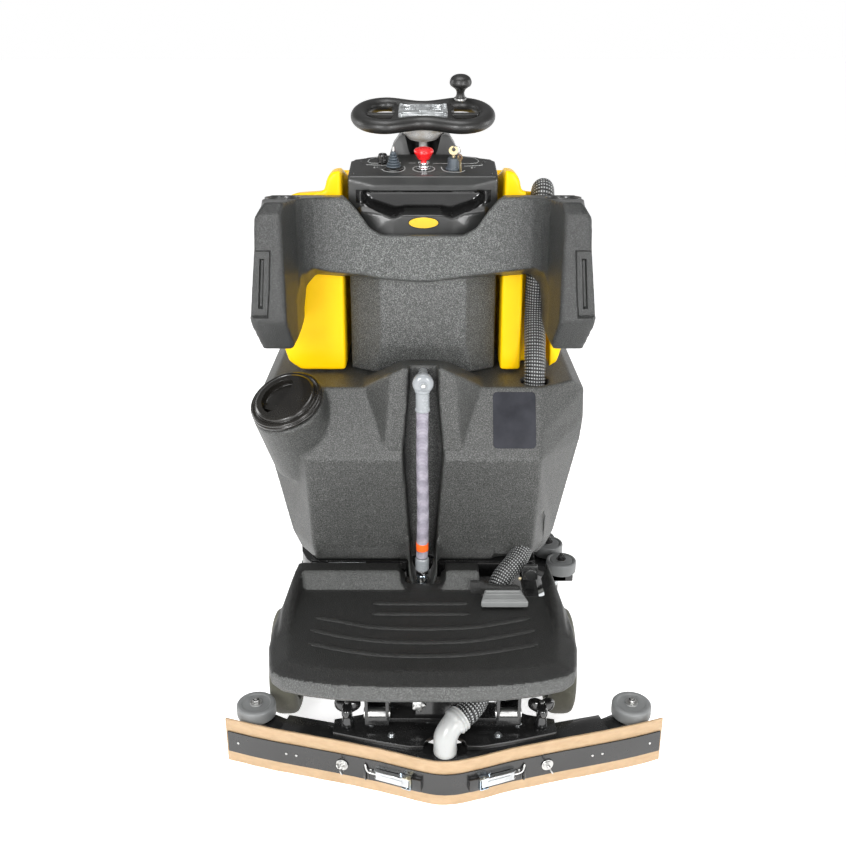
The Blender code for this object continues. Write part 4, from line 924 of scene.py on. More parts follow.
# ============================================================ side bolster
cuts = []
for s in (-1, 1):
    def slant(poly, y0, y1):
        return loft([[V(s * x, y, z) for x, z in poly] for y in (y0, y1)])
    cuts.append(hull([V(s * x, y, z) for x in (0.16, 0.36) for y, z in ((0.10, 1.0450), (0.1335, 1.0450), (0.1560, 1.0645), (0.1560, 1.09), (0.10, 1.09))]))
BOL = soft_body("side_bolster", "bolster", "base", 0.0036, 6, 0.5, cut=cuts)
tools = []
for s in (-1, 1):
    def drafted(outer, inner, y0, y1):
        """A recess with sloping walls: wide at y0, narrower at y1."""
        return loft([[V(s * x, y, z) for x, z in rows] for rows, y in ((outer, y0), (inner, y1))])
    # pad recess open to the outer side, with a step at its top, and a slot inside it
    tools.append(drafted([(0.2800, 0.9790), (0.3600, 0.9790), (0.3600, 0.8440), (0.2925, 0.8440), (0.2860, 0.9000)],
                         [(0.2865, 0.9730), (0.3600, 0.9730), (0.3600, 0.8510), (0.2970, 0.8510), (0.2915, 0.9000)], 0.1290, 0.1385))
    tools.append(drafted([(0.2955, 0.9610), (0.3055, 0.9610), (0.3140, 0.8620), (0.3035, 0.8620)],
                         [(0.2985, 0.9560), (0.3025, 0.9560), (0.3105, 0.8670), (0.3065, 0.8670)], 0.1370, 0.1440))
boolean(BOL, tools, "DIFFERENCE")
for s, nm in ((-1, "left"), (1, "right")):
    make("cup_lip_" + nm, lathe(rounded([(0.0290, -0.012), (0.0312, -0.012), (0.0318, 0.0006), (0.0340, 0.0016), (0.0352, 0.0002),
                                         (0.0348, -0.004), (0.0322, -0.006)], 0.0006, 2),
                                V(s * 0.274, 0.270, 1.0705 + (0.270 - 0.05) * (-0.0305 / 0.35) + 0.0004), (0, 0.087, 1), 56, closed=True),
         "satin", "base")

# ============================================================ console
hold_r = [(-0.136, 1.0500), (0.136, 1.0500), (0.136, 1.0240), (0.062, 0.9955), (0.038, 1.0045), (-0.038, 1.0045), (-0.062, 0.9955),
          (-0.136, 1.0240)]
hold_m = [(-0.128, 1.0490), (0.128, 1.0490), (0.128, 1.0260), (0.060, 1.0030), (0.038, 1.0090), (-0.038, 1.0090), (-0.060, 1.0030),
          (-0.128, 1.0260)]
hold_f = [(-0.108, 1.0470), (0.108, 1.0470), (0.108, 1.0290), (0.056, 1.0120), (0.036, 1.0150), (-0.036, 1.0150), (-0.056, 1.0120),
          (-0.108, 1.0290)]
CONSOLE = soft_body("console_housing", "satin", "base", 0.0024, 6, 0.5,
                    cut=[loft([[V(x, y, z) for x, z in row] for row, y in ((hold_r, 0.318), (hold_m, 0.362), (hold_f, 0.388))])])
CONSOLE.data.materials.append(M["gloss"])
for p in CONSOLE.data.polygons:
    q = p.center - SHIFT
    if 0.985 < q.z < 1.0515 and 0.3375 < q.y < 0.395 and abs(q.x) < 0.138 and p.normal.z < 0.97:
        low = 0.9955 + max(0.0, (abs(q.x) - 0.062)) * 0.385
        if q.z > low + 0.003 and (q.y > 0.3455 or q.z > 1.0105):
            p.material_index = 1
CON_TREE = tree_of(CONSOLE)
c, nrm = surface(CON_TREE, 0.0012, 0.9905)
n = (nrm + V(0, -1, 0.1)).normalized()
u = V(1, 0, 0)
v = n.cross(u)
v = v if v.z > 0 else -v
oval = [(0.0300 * cos(2 * pi * k / 48), 0.0108 * sin(2 * pi * k / 48)) for k in range(48)]
make("badge_plate", slab(oval, c, u, v, n, -0.003, 0.0016, 0.0006), "badge", "base")
rim_o = [(a * 1.06, b * 1.14) for a, b in oval]
make("badge_rim", slab(rim_o, c, u, v, n, -0.003, 0.0008, 0.0004), "gloss", "base")


def on_panel(x, y, h=0.0):
    return V(x, y, pz(y)) + PN * h


def printed(name, pts, width=0.0014, loop=False, smoothed=True):
    p3 = [on_panel(x, y) for x, y in pts]
    if smoothed and not loop:
        p3 = smooth_path(p3, 0.002)
    sec = [(-0.0004, -width / 2), (0.00028, -width / 2), (0.00028, width / 2), (-0.0004, width / 2)]
    return sweep(p3, 0, 4, loop=loop, section=sec, up=PN)


lines = [printed("a", [(-0.0471, 0.4640), (-0.0780, 0.4625), (-0.1060, 0.4610), (-0.1150, 0.4690), (-0.1162, 0.4808), (-0.1083, 0.5000),
                       (-0.0925, 0.5080)]),
         printed("b", [(-0.1199, 0.4504), (-0.0950, 0.4470), (-0.0720, 0.4440)]),
         printed("c", [(-0.0860, 0.4180), (-0.0800, 0.4060), (-0.0700, 0.3985), (-0.0520, 0.3975), (-0.0420, 0.4060), (-0.0374, 0.4220),
                       (-0.0400, 0.4380)]),
         printed("d", [(0.0383, 0.4330), (0.0400, 0.4150), (0.0480, 0.4010), (0.0600, 0.3965), (0.0780, 0.3975), (0.0870, 0.4080)]),
         printed("e", [(0.0217, 0.4588), (0.0640, 0.4595), (0.1064, 0.4600), (0.1160, 0.4690), (0.1177, 0.4808), (0.1083, 0.5010),
                       (0.0900, 0.5080)]),
         printed("f", [(0.0860, 0.4400), (0.1060, 0.4420), (0.1239, 0.4460), (0.1230, 0.4560)]),
         printed("g", [(-0.0300, 0.4620), (-0.0160, 0.4620)]),
         printed("h", [(STOP.x + 0.0225 * cos(2 * pi * k / 48), STOP.y + 0.0225 * sin(2 * pi * k / 48)) for k in range(48)], loop=True)]
for x, y in ((-0.103, 0.432), (-0.097, 0.432), (-0.103, 0.426), (0.0015, 0.389), (-0.002, 0.386), (0.005, 0.386), (0.100, 0.424),
             (0.106, 0.427), (0.100, 0.430)):
    lines.append(printed("t", [(x, y), (x + 0.003, y + 0.001)], 0.0012, smoothed=False))
make("panel_lines", join(*lines), "print", "base", 30)
for i, (dx, dy) in enumerate(((-0.142, 0.385), (0.142, 0.385), (-0.130, 0.470), (0.130, 0.470))):
    make("panel_screw_%d" % i, lathe(rounded([(0, -0.001), (0.0034, -0.001), (0.0034, 0.0006), (0.0022, 0.0014), (0, 0.0016)], 0.0004, 2),
                                     on_panel(dx, dy), PN, 24), "gloss", "base")

# emergency stop
make("estop_collar_skin", lathe(rounded([(0.0068, 0.0006), (0.0150, 0.0006), (0.0150, 0.0032), (0.0128, 0.0044), (0.0108, 0.0050),
                                         (0.0102, 0.0090), (0.0108, 0.0115), (0.0118, 0.0126), (0.0118, 0.0140), (0.0068, 0.0140)],
                                        0.0006, 2), STOP, PN, 56, closed=True), "chrome", "base", 40, ("estop_collar",))
make("estop_head", lathe(rounded([(0, 0.0115), (0.0063, 0.0115), (0.0063, 0.0205), (0.0125, 0.0208), (0.0145, 0.0250), (0.0175, 0.0300),
                                  (0.0200, 0.0345), (0.0203, 0.0380), (0.0185, 0.0412), (0.0130, 0.0432), (0.0060, 0.0440),
                                  (0, 0.0440)], 0.0014, 3), STOP, PN, 64), "red", "stop_button", 40, ("estop_button",))
make("estop_arrow_ring", ring(STOP + PN * 0.0428, STOP + PN * 0.0438, 0.0098, 0.0080, 48, 0.0003), "red", "stop_button")

# lever: bellows boot with a pointed metal tip
prof = [(0, 0.0046), (0.0118, 0.0046)]
for k in range(6):
    h0, r0, r1 = 0.0048 + k * 0.0051, 0.0152 - k * 0.00175, 0.0122 - k * 0.00170
    prof += [(r1, h0), (r0, h0 + 0.0014), (r0, h0 + 0.0034), (r1, h0 + 0.0046)]
prof += [(0.0038, 0.0362), (0.0030, 0.0385), (0, 0.0390)]
make("lever_bellows", lathe(rounded(prof, 0.0007, 2), LEV, PN, 48), "rubber", "lever", 50, ("lever_boot",))
make("lever_tip", lathe(rounded([(0, 0.0370), (0.0034, 0.0375), (0.0030, 0.0400), (0.0024, 0.0455), (0.0008, 0.0484), (0, 0.0485)],
                                0.0005, 2), LEV, PN, 28), "steel", "lever")
make("lever_base", lathe(rounded([(0.0050, -0.0004), (0.0200, -0.0004), (0.0205, 0.0012), (0.0190, 0.0022), (0.0172, 0.0022), (0.0160, 0.0009), (0.0050, 0.0009)], 0.0004, 2),
                         LEV, PN, 48, closed=True), "gloss", "base")

# key switch, key, ring and a second key
make("key_barrel", lathe(rounded([(0, 0.0006), (0.0165, 0.0006), (0.0165, 0.0028), (0.0138, 0.0040), (0.0128, 0.0050), (0.0120, 0.0225),
                                  (0.0108, 0.0240), (0.0050, 0.0240), (0.0045, 0.0200), (0, 0.0200)], 0.0008, 2), KEY, PN, 48),
     "rubber", "base", 40, ("key_switch",))
KX = V(1, 0, 0)
KY = PN.cross(KX) * -1.0


def key_blade(base_p, up, side, thick, length, bow, mat, name, holes=True):
    """A flat key: a plain shank and a pierced oval bow."""
    t = thick / 2
    parts = [loft([[base_p + side * a + up * h + thick_dir * (s * t) for a, h in
                    ((-0.0028, 0.0), (0.0028, 0.0), (0.0028, length), (-0.0028, length))] for s in (-1, 1)])
             for thick_dir in (up.cross(side),)]
    k = 40
    outer = [(bow * cos(2 * pi * i / k), length + bow * 0.85 + bow * 0.95 * sin(2 * pi * i / k)) for i in range(k)]
    inner = [(bow * 0.42 * cos(2 * pi * i / k), length + bow * 1.05 + bow * 0.42 * sin(2 * pi * i / k)) for i in range(k)]
    w_ = up.cross(side)
    verts, faces = [], []
    for pts, s in ((outer, -1), (outer, 1), (inner, 1), (inner, -1)):
        verts += [base_p + side * a + up * h + w_ * (s * t) for a, h in pts]
    for r in range(4):
        for i in range(k):
            j = (i + 1) % k
            q = (r + 1) % 4
            faces.append((r * k + i, r * k + j, q * k + j, q * k + i))
    parts.append(body(verts, faces))
    return join(*parts)


make("ignition_key_skin", join(cyl(KEY + PN * 0.0102, KEY + PN * 0.0290, 0.0035, 24, chamfer=0.0004),
                               key_blade(KEY + PN * 0.020, PN, KX, 0.0020, 0.0105, 0.0098, "brass", "k")),
     "brass", "key", 40, ("ignition_key",))
ring_c = KEY + PN * 0.0395 + V(0.0055, -0.0030, 0.0)
rp = []
for k in range(40):
    a = 2 * pi * k / 40
    rp.append(ring_c + V(0.0085 * cos(a), -0.0045 * cos(a) - 0.004 * sin(a), 0.0085 * sin(a)))
make("key_ring", sweep(rp, 0.0008, 10, loop=True), "steel", "key", 60)
tip = ring_c + V(0.0075, -0.0060, -0.0060)
make("spare_key", key_blade(tip + V(0.0010, -0.004, -0.040), V(-0.03, 0.10, 1).normalized(), V(0.55, -0.83, 0.1).normalized(), 0.0016,
                            0.0250, 0.0080, "brass", "k2"), "brass", "key", 40)

# speed dial behind the lever
make("speed_dial_skin", lathe(rounded([(0, 0.0006), (0.0100, 0.0006), (0.0102, 0.0030), (0.0096, 0.0170), (0.0082, 0.0200), (0, 0.0202)],
                                      0.0012, 3), DIAL, PN, 60,
                              wave=lambda t, r, h: 0.0004 * cos(20 * t) if r > 0.0085 and 0.003 < h < 0.017 else 0.0),
     "gloss", "dial", 40, ("speed_dial",))
make("dial_mark", slab([(-0.0006, -0.001), (0.0006, -0.001), (0.0006, 0.0065), (-0.0006, 0.0065)], DIAL + PN * 0.0198, V(1, 0, 0), PB, PN,
                       0.0, 0.0006, 0.0001), "print", "dial")

# ============================================================ steering wheel
def rim_depth(x):
    t = min(1.0, abs(x) / 0.139)
    waist = 0.054 + 0.027 * 0.5 * (1 - cos(pi * min(1.0, t / 0.62)))
    return waist * (1 - max(0.0, (t - 0.5) / 0.5) ** 2.6) ** 0.5


rim, NR = [], 60
for i in range(NR):
    x = -0.139 * cos(pi * i / NR)
    rim.append(wp(x, rim_depth(x)))
for i in range(NR):
    x = 0.139 * cos(pi * i / NR)
    rim.append(wp(x, -rim_depth(x)))
sec = [(0.0150 * cos(2 * pi * k / 24), 0.0178 * sin(2 * pi * k / 24)) for k in range(24)]
me_rim = sweep(rim, 0, 24, loop=True, section=sec, up=WN)
plate_pts = [(-0.069, -0.048), (-0.052, -0.062), (0.052, -0.062), (0.069, -0.048), (0.063, -0.022), (0.060, 0.0), (0.063, 0.022),
             (0.069, 0.048), (0.052, 0.062), (-0.052, 0.062), (-0.069, 0.048), (-0.063, 0.022), (-0.060, 0.0), (-0.063, -0.022)]
plate = loft([[wp(a, b, h) for a, b in plate_pts] for h in (-0.0090, 0.0068)])
spokes = [loft([[wp(a, b, h) for a, b in ((s * 0.052, -0.0075), (s * 0.135, -0.0060), (s * 0.135, 0.0060), (s * 0.052, 0.0075))]
                for h in (-0.0075, 0.0050)]) for s in (-1, 1)]
wm = bpy.data.meshes.new("steering_wheel_skin")
for q in (me_rim,):
    bmesh.ops.translate(q, verts=q.verts, vec=SHIFT)
me_rim.to_mesh(wm)
me_rim.free()
wm.materials.append(M["wheel"])
WHEEL = bpy.data.objects.new("steering_wheel_skin", wm)
COLL.objects.link(WHEEL)
boolean(WHEEL, [plate] + spokes, "UNION")
r = WHEEL.modifiers.new("r", "REMESH")
r.mode, r.voxel_size, r.use_smooth_shade = "VOXEL", 0.0017, True
s = WHEEL.modifiers.new("s", "SMOOTH")
s.factor, s.iterations = 0.5, 6
freeze(WHEEL)
WHEEL.data.shade_smooth()
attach(WHEEL, "steering")
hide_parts("steering_wheel")
DONE.add("steering_wheel")

cov = rounded_rect(0.106, 0.080, 0.008)
cover = [bevel(loft([[wp(a * k, b * k, h) for a, b in cov] for h, k in ((0.0060, 1.0), (0.0118, 1.0), (0.0132, 0.965))]), 0.0008, 2, 50)]
for a0, a1, b0, b1, h in ((-0.044, 0.044, 0.026, 0.0295, 0.0152), (-0.044, 0.044, -0.0295, -0.026, 0.0152), (-0.044, -0.0405, -0.026, 0.026, 0.0152),
                          (0.0405, 0.044, -0.026, 0.026, 0.0152), (-0.018, -0.015, -0.026, 0.026, 0.0146), (0.015, 0.018, -0.026, 0.026, 0.0146),
                          (-0.040, 0.040, -0.0015, 0.0015, 0.0146), (-0.030, -0.022, 0.008, 0.018, 0.0158), (0.022, 0.030, 0.008, 0.018, 0.0158),
                          (-0.008, 0.008, -0.018, -0.006, 0.0158)):
    cover.append(bevel(loft([[wp(a, b, t) for a, b in ((a0, b0), (a1, b0), (a1, b1), (a0, b1))] for t in (0.012, h)]), 0.0006, 2))
for sx in (-1, 1):
    for sy in (-1, 1):
        cover.append(lathe(rounded([(0, 0.010), (0.0042, 0.010), (0.0042, 0.0150), (0, 0.0156)], 0.0006, 2),
                           wp(sx * 0.0475, sy * 0.0345, 0), WN, 20))
make("wheel_cover_skin", join(*cover), "cover", "steering", 40, ("wheel_hub_cover",))
make("hub_bowl_skin", lathe(rounded([(0, -0.0092), (0.0400, -0.0092), (0.0400, -0.0140), (0.0510, -0.0150), (0.0512, -0.0175), (0.0494, -0.0230),
                                     (0.0455, -0.0335), (0.0405, -0.0410), (0.0365, -0.0440), (0.0350, -0.0470), (0.0150, -0.0480),
                                     (0.0090, -0.0500), (0.0090, -0.0930), (0, -0.0930)], 0.0018, 3), WHEEL_C, WN, 96), "bowl", "steering", 40,
     ("hub_bowl",))
KN = wp(0.083, 0.0775, 0.0150)
make("spinner_skin", lathe(rounded([(0, 0), (0.0112, 0.0), (0.0106, 0.0030), (0.0088, 0.0080), (0.0088, 0.0140), (0.0110, 0.0190),
                                    (0.0165, 0.0240), (0.0232, 0.0285), (0.0246, 0.0335), (0.0242, 0.0370), (0.0215, 0.0440),
                                    (0.0150, 0.0490), (0.0080, 0.0508), (0, 0.0513)], 0.003, 4), KN, WN, 72), "wheel", "spinner", 40,
     ("spinner_knob",))
make("spinner_foot", lathe(rounded([(0.0100, -0.004), (0.0150, -0.004), (0.0145, 0.0008), (0.0120, 0.0018), (0.0100, 0.0018)], 0.0006, 2),
                           KN, WN, 40, closed=True), "steel", "steering")
hard_body("column_cowl", "satin", "base", 0.0075, 4, 25, 50)
hard_body("steering_shaft", "steel", "column_shaft", 0.0008)

# ============================================================ platform
PLAT = soft_body("platform", "deckplate", "base", 0.0034, 6, 0.5)
# Rear-facing faces take the lighter copy: painted light where they face the front lamps, against the darker up-facing
# top.
PLAT.data.materials.append(M["lip"])
for p in PLAT.data.polygons:
    q = p.center - SHIFT
    if (p.normal.y < -0.55 and q.y < -0.06) or (q.y > 0.118 and p.normal.y < -0.2 and q.z > 0.262):
        p.material_index = 1


def tread(name, pts, w=0.0072, h=0.0044, z=0.2592):
    p3 = smooth_path([V(x, y, z) for x, y in pts], 0.004)
    n = len(p3)
    rings = []
    for i, p in enumerate(p3):
        a, b = p3[max(0, i - 1)], p3[min(n - 1, i + 1)]
        t = (b - a).normalized()
        side = V(-t.y, t.x, 0)
        f = min(1.0, min(i, n - 1 - i) / 5.0)
        f = sqrt(max(0.02, 1 - (1 - f) ** 2))
        row = []
        for k in range(9):
            q = pi * k / 8
            row.append(p + side * (w * cos(q) * f) + V(0, 0, 1) * (h * sin(q) ** 0.8 * f))
        row.append(p - side * w * f - V(0, 0, 0.002))
        row.append(p + side * w * f - V(0, 0, 0.002))
        rings.append(row)
    return loft(rings)


ribs = [tread("a", [(-0.2178, 0.0153), (-0.1709, 0.0025), (-0.1113, -0.0174), (-0.0550, -0.0240), (0.0, -0.0257), (0.0550, -0.0240),
                    (0.1100, -0.0174), (0.1712, -0.0007), (0.2166, 0.0142)]),
        tread("b", [(-0.2223, -0.0278), (-0.1727, -0.0472), (-0.1089, -0.0643), (-0.055, -0.0712), (0.0, -0.0732), (0.055, -0.0712),
                    (0.1076, -0.0643), (0.1690, -0.0472), (0.2208, -0.0299)]),
        tread("c", [(-0.2213, -0.0742), (-0.1689, -0.0928), (-0.1066, -0.1091), (-0.055, -0.1160), (0.0, -0.1177), (0.055, -0.1160),
                    (0.1055, -0.1091), (0.1676, -0.0938), (0.2214, -0.0781)]),
        tread("d", [(-0.1036, 0.0669), (0.0, 0.0664), (0.0952, 0.0669)]),
        tread("e", [(-0.1048, 0.0283), (0.0, 0.0278), (0.0965, 0.0283)])]
make("platform_treads", join(*ribs), "deckplate", "base", 50)

# raised edge behind the pedal, hollowed where the suction hose dives under the deck
edge_rings = []
for i in range(34):
    x = 0.0990 + 0.1050 * i / 33
    dip = max(0.0, 1 - ((x - 0.176) / 0.052) ** 2) ** 0.5
    fall = 0.006 * max(0.0, (x - 0.196) / 0.008)
    zt = 0.2850 - 0.0110 * dip - fall
    edge_rings.append([V(x, y, z) for y, z in ((0.1060, 0.2580), (0.1072, 0.2680), (0.1095, zt - 0.0030), (0.1120, zt - 0.0006), (0.1150, zt),
                                               (0.1180, zt - 0.0006), (0.1200, zt - 0.0030), (0.1205, 0.2580))])
make("platform_rear_edge", loft(edge_rings), "deckplate", "base", 50)

# foot pedal: ribbed pad on a bent metal plate
PED = V(0.1655, 0.097, 0.2665)


def ped(x0, x1, xa, xb, y0, y1, z0, z1, rise=0.0):
    return loft([[V(x, y, z + (rise if y < 0.06 else 0.0) * k) for x, y in ((x0, y0), (x1, y0), (xb, y1), (xa, y1))]
                 for z, k in ((z0, 0), (z1, 1))])


pads = [bevel(ped(0.118, 0.214, 0.1285, 0.2025, 0.0445, 0.097, 0.2662, 0.2745, 0.003), 0.0018, 3)]
for i in range(4):
    y0 = 0.0505 + i * 0.0118
    k0, k1 = (y0 - 0.0445) / 0.0525, (y0 + 0.0070 - 0.0445) / 0.0525
    xa, xb = 0.122 + 0.0105 * k0, 0.210 - 0.0115 * k0
    z0 = 0.2745 + 0.003 * max(0.0, (0.06 - y0) / 0.0155)
    pads.append(bevel(box(xa, xb, y0, y0 + 0.0070, 0.2735, z0 + 0.0018), 0.0009, 2))
pads.append(bevel(hull([V(x, y, z) for x in (0.120, 0.212) for y, z in ((0.0440, 0.2650), (0.0440, 0.2770), (0.0475, 0.2780), (0.0475, 0.2655))]),
                  0.0010, 2))
make("foot_pedal_skin", join(*pads), "pedal", "pedal", 40, ("foot_pedal",))
make("pedal_hinge_pin", cyl(V(0.128, 0.0985, 0.2685), V(0.203, 0.0985, 0.2685), 0.0022, 20, chamfer=0.0004), "steel", "pedal")
make("slit_plate", bevel(box(-0.2065, -0.1255, 0.2195, 0.2225, 0.2575, 0.2690), 0.0006, 1), "zinc", "base")

# ============================================================ suction hose
HR = 0.023
upper = smooth_path([(0.2325, 0.2780, 0.4000), (0.2355, 0.2880, 0.5500), (0.2365, 0.3000, 0.6650),
                     (0.2380, 0.3300, 0.7250), (0.2400, 0.3760, 0.7920), (0.2410, 0.3800, 0.8800), (0.2440, 0.3800, 0.9900),
                     (0.2490, 0.3920, 1.0300), (0.2510, 0.4200, 1.0450), (0.2515, 0.4520, 1.0260),
                     (0.2515, 0.4600, 0.9780)], 0.0012)
PITCH = 0.0062


def spiral(s, t):
    q = (s / PITCH + t / (2 * pi)) % 1.0
    return HR - 0.0022 + 0.0021 * max(0.0, 1 - (abs(q - 0.5) / 0.36) ** 2.5)


make("suction_hose_upper", sweep(upper, spiral, 44, uv=True), "hose", "base", 70, ("vacuum_hose_upper",))

el = smooth_path([(SQ_X, -0.1955, 0.1003), (SQ_X, -0.1955, 0.128), (SQ_X + 0.004, -0.1930, 0.144),
                  (SQ_X + 0.014, -0.1850, 0.1555), (SQ_X + 0.0285, -0.1725, 0.1610)], 0.012)
end_dir = (el[-1] - el[-2]).normalized()
ELBOW_END = el[-1]
start = ELBOW_END + end_dir * 0.0006
lower = smooth_path([start, start + end_dir * 0.0236, (0.108, -0.118, 0.176), (0.112, -0.060, 0.190), (0.118, 0.010, 0.199),
                     (0.126, 0.070, 0.203), (0.142, 0.116, 0.222), (0.168, 0.160, 0.262), (0.202, 0.200, 0.285),
                     (0.2220, 0.2420, 0.3030), (0.2300, 0.2680, 0.3350), (0.2320, 0.2760, 0.3720),
                     (0.23245, 0.27800, 0.3990)], 0.0012)
low_o = make("suction_hose_lower", sweep(lower, spiral, 44, uv=True), "hose", None, 70, ("vacuum_hose_lower",))
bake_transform(low_o)

elp = smooth_path([(SQ_X, -0.1955, 0.1003), (SQ_X, -0.1955, 0.128), (SQ_X + 0.004, -0.1930, 0.144),
                   (SQ_X + 0.014, -0.1850, 0.1555), (SQ_X + 0.0285, -0.1725, 0.1610)], 0.0022)


def elbow_r(s, t):
    total = 0.088
    if s < 0.006:
        return 0.0225 - 0.0012 * (1 - s / 0.006)
    if s > total - 0.026:
        q = (s - total + 0.026) / 0.026
        return 0.0222 + 0.0030 * min(1.0, q * 5) + 0.0007 * cos(2 * pi * q * 4)
    return 0.0222 + 0.0004 * cos(s * 180)


make("squeegee_elbow_skin", sweep(elp, elbow_r, 48), "elbow", "squeegee", 60, ("squeegee_elbow",))
make("elbow_stub", ring(V(SQ_X, -0.1955, 0.0940), V(SQ_X, -0.1955, 0.1010), 0.0238, 0.012, 48, 0.001), "paint", "squeegee")

# the tank's rear face carried down over the hose channel, shaped from the mirrored side
TANK_TREE = tree_of(bpy.data.objects["solution_tank_skin"])
patch = []
for i in range(31):
    x = 0.1560 + 0.1120 * i / 30
    row = []
    for j in range(33):
        z = 0.2900 + 0.1500 * j / 32
        hit = surface(TANK_TREE, -x, z)[0]
        edge = min(i, 30 - i, 32 - j) / 4.0
        row.append(V(x, hit.y + (0.0012 - 0.0018 * min(1.0, edge)), z))
    patch.append(row + [V(p.x, p.y + 0.006, p.z) for p in reversed(row)])
make("tank_rear_fairing", loft(patch), "tank", "base", 60)

# drain plug in a small plate
plug = [bevel(box(0.2125, 0.2435, 0.1500, 0.1598, 0.2655, 0.2995), 0.0025, 3),
        lathe(rounded([(0, 0.0), (0.0130, 0.0), (0.0130, 0.0055), (0.0118, 0.0090), (0, 0.0090)], 0.0012, 2), V(0.228, 0.1502, 0.2825), (0, -1, 0), 40,
              wave=lambda t, r, h: 0.0006 * cos(14 * t) if r > 0.0115 else 0.0)]
make("drain_plug_skin", join(*plug), "satin", "drain", 40, ("drain_plug",))
make("drain_screw", lathe(rounded([(0, -0.001), (0.0036, -0.001), (0.0036, 0.0014), (0.0024, 0.0022), (0, 0.0022)], 0.0004, 2),
                          V(0.206, 0.1490, 0.2700), (0, -1, 0.3), 24), "brass", "base")

# ============================================================ wheels
ya, za = 0.085, 0.110
for side, s in (("left", -1), ("right", 1)):
    c = V(s * 0.2855, ya, za)
    hw, R = 0.0275, 0.110
    prof = [(0.0775, -hw + 0.012), (0.0810, -hw + 0.001), (R - 0.014, -hw), (R - 0.005, -hw + 0.004), (R - 0.0015, -hw + 0.010),
            (R, -hw + 0.018), (R, hw - 0.018), (R - 0.0015, hw - 0.010), (R - 0.005, hw - 0.004), (R - 0.014, hw), (0.0810, hw - 0.001),
            (0.0775, hw - 0.012)]
    make("tyre_" + side, lathe(rounded(prof, 0.002, 3), c, (1, 0, 0), 96, closed=True,
                               wave=lambda t, r, h: -0.0006 if r > 0.1085 and (abs(abs(h) - 0.006) < 0.0012) else 0.0),
         "tyre", "rear_wheel_" + side, 40, ("rear_wheel_" + side,))
    hub = [(0.0108, -hw + 0.0055), (0.026, -hw + 0.0055), (0.030, -hw + 0.008), (0.032, -hw + 0.0135), (0.070, -hw + 0.0135),
           (0.0745, -hw + 0.010), (0.0785, -hw + 0.010), (0.0785, hw - 0.010), (0.0745, hw - 0.010), (0.070, hw - 0.0135),
           (0.032, hw - 0.0135), (0.030, hw - 0.008), (0.026, hw - 0.0055), (0.0108, hw - 0.0055)]
    hb = [lathe(rounded(hub, 0.0012, 2), c, (1, 0, 0), 72, closed=True)]
    for k in range(6):
        t = pi * k / 3
        d = V(0, cos(t), sin(t))
        e = V(0, -sin(t), cos(t))
        for q in (-1, 1):
            hb.append(hull([c + V(q * (hw - 0.0135 + x), 0, 0) + d * r0 + e * w_ for x in (-0.001, 0.0050) for r0, w_ in
                            ((0.030, -0.0035), (0.030, 0.0035), (0.073, -0.0025), (0.073, 0.0025))]))
    make("wheel_hub_" + side, join(*hb), "grey", "rear_wheel_" + side)
    make("axle_nut_" + side, join(lathe([(0, s * 0.0), (0.0165, 0.0), (0.0165, 0.0016), (0, 0.0016)], c + V(s * 0.0228, 0, 0), (s, 0, 0), 36),
                                  loft([[c + V(s * x, 0, 0) + V(0, 0.0115 * cos(pi * k / 3), 0.0115 * sin(pi * k / 3)) for k in range(6)]
                                        for x in (0.0242, 0.0330)])), "zinc", "rear_wheel_" + side)

DC = V(0, 0.900, 0.125)
tw, R = 0.035, 0.125
make("drive_tyre_skin", lathe(rounded([(0.0800, -tw + 0.002), (0.0860, -tw), (R - 0.014, -tw), (R - 0.004, -tw + 0.006), (R, -tw + 0.020),
                                       (R, tw - 0.020), (R - 0.004, tw - 0.006), (R - 0.014, tw), (0.0860, tw), (0.0800, tw - 0.002)], 0.003, 3),
                              DC, (1, 0, 0), 120, closed=True,
                              wave=lambda t, r, h: -0.0020 if r > 0.1235 and (abs(abs(h) - 0.010) < 0.002 or
                                                                             (abs(h) > 0.012 and cos(36 * t) > 0.6)) else 0.0),
     "tyre", "drive_wheel", 40, ("drive_tyre",))
hm = [lathe(rounded([(0, -0.060), (0.0100, -0.060), (0.0100, -0.034), (0.055, -0.0335), (0.062, -0.029), (0.0795, -0.027), (0.0795, 0.027),
                     (0.062, 0.029), (0.055, 0.0335), (0.0100, 0.034), (0.0100, 0.060), (0, 0.060)], 0.0015, 3), DC, (1, 0, 0), 72)]
for k in range(8):
    t = 2 * pi * k / 8
    for q in (-1, 1):
        hm.append(lathe(rounded([(0, 0.0), (0.0042, 0.0), (0.0042, 0.0035), (0, 0.0040)], 0.0005, 2),
                        DC + V(q * 0.0325, 0.045 * cos(t), 0.045 * sin(t)), (q, 0, 0), 20))
make("drive_hub_skin", join(*hm), "grey", "drive_wheel", 40, ("drive_hub_motor",))

# ============================================================ scrub deck
DY = 0.500
BXS = (("left", -0.138), ("right", 0.172))


def stadium(r, n=28):
    pts = []
    for k in range(n + 1):
        t = -pi / 2 + pi * k / n
        pts.append((0.172 + r * cos(t), DY + r * sin(t)))
    for k in range(n + 1):
        t = pi / 2 + pi * k / n
        pts.append((-0.138 + r * cos(t), DY + r * sin(t)))
    return pts


hard_body("deck_housing", "paint", "deck", 0.0022, 2, 25, 40)


def band(r0, r1, z0, z1, lip=0.0):
    o, i = stadium(r1), stadium(r0)
    k = len(o)
    rings = [(stadium(r1 + lip), z0), (o, z0 + 0.006), (o, z1), (i, z1), (i, z0)]
    verts = [V(x, y, z) for pts, z in rings for x, y in pts]
    faces = []
    for r in range(len(rings)):
        q = (r + 1) % len(rings)
        for a in range(k):
            b = (a + 1) % k
            faces.append((r * k + a, r * k + b, q * k + b, q * k + a))
    return body(verts, faces)


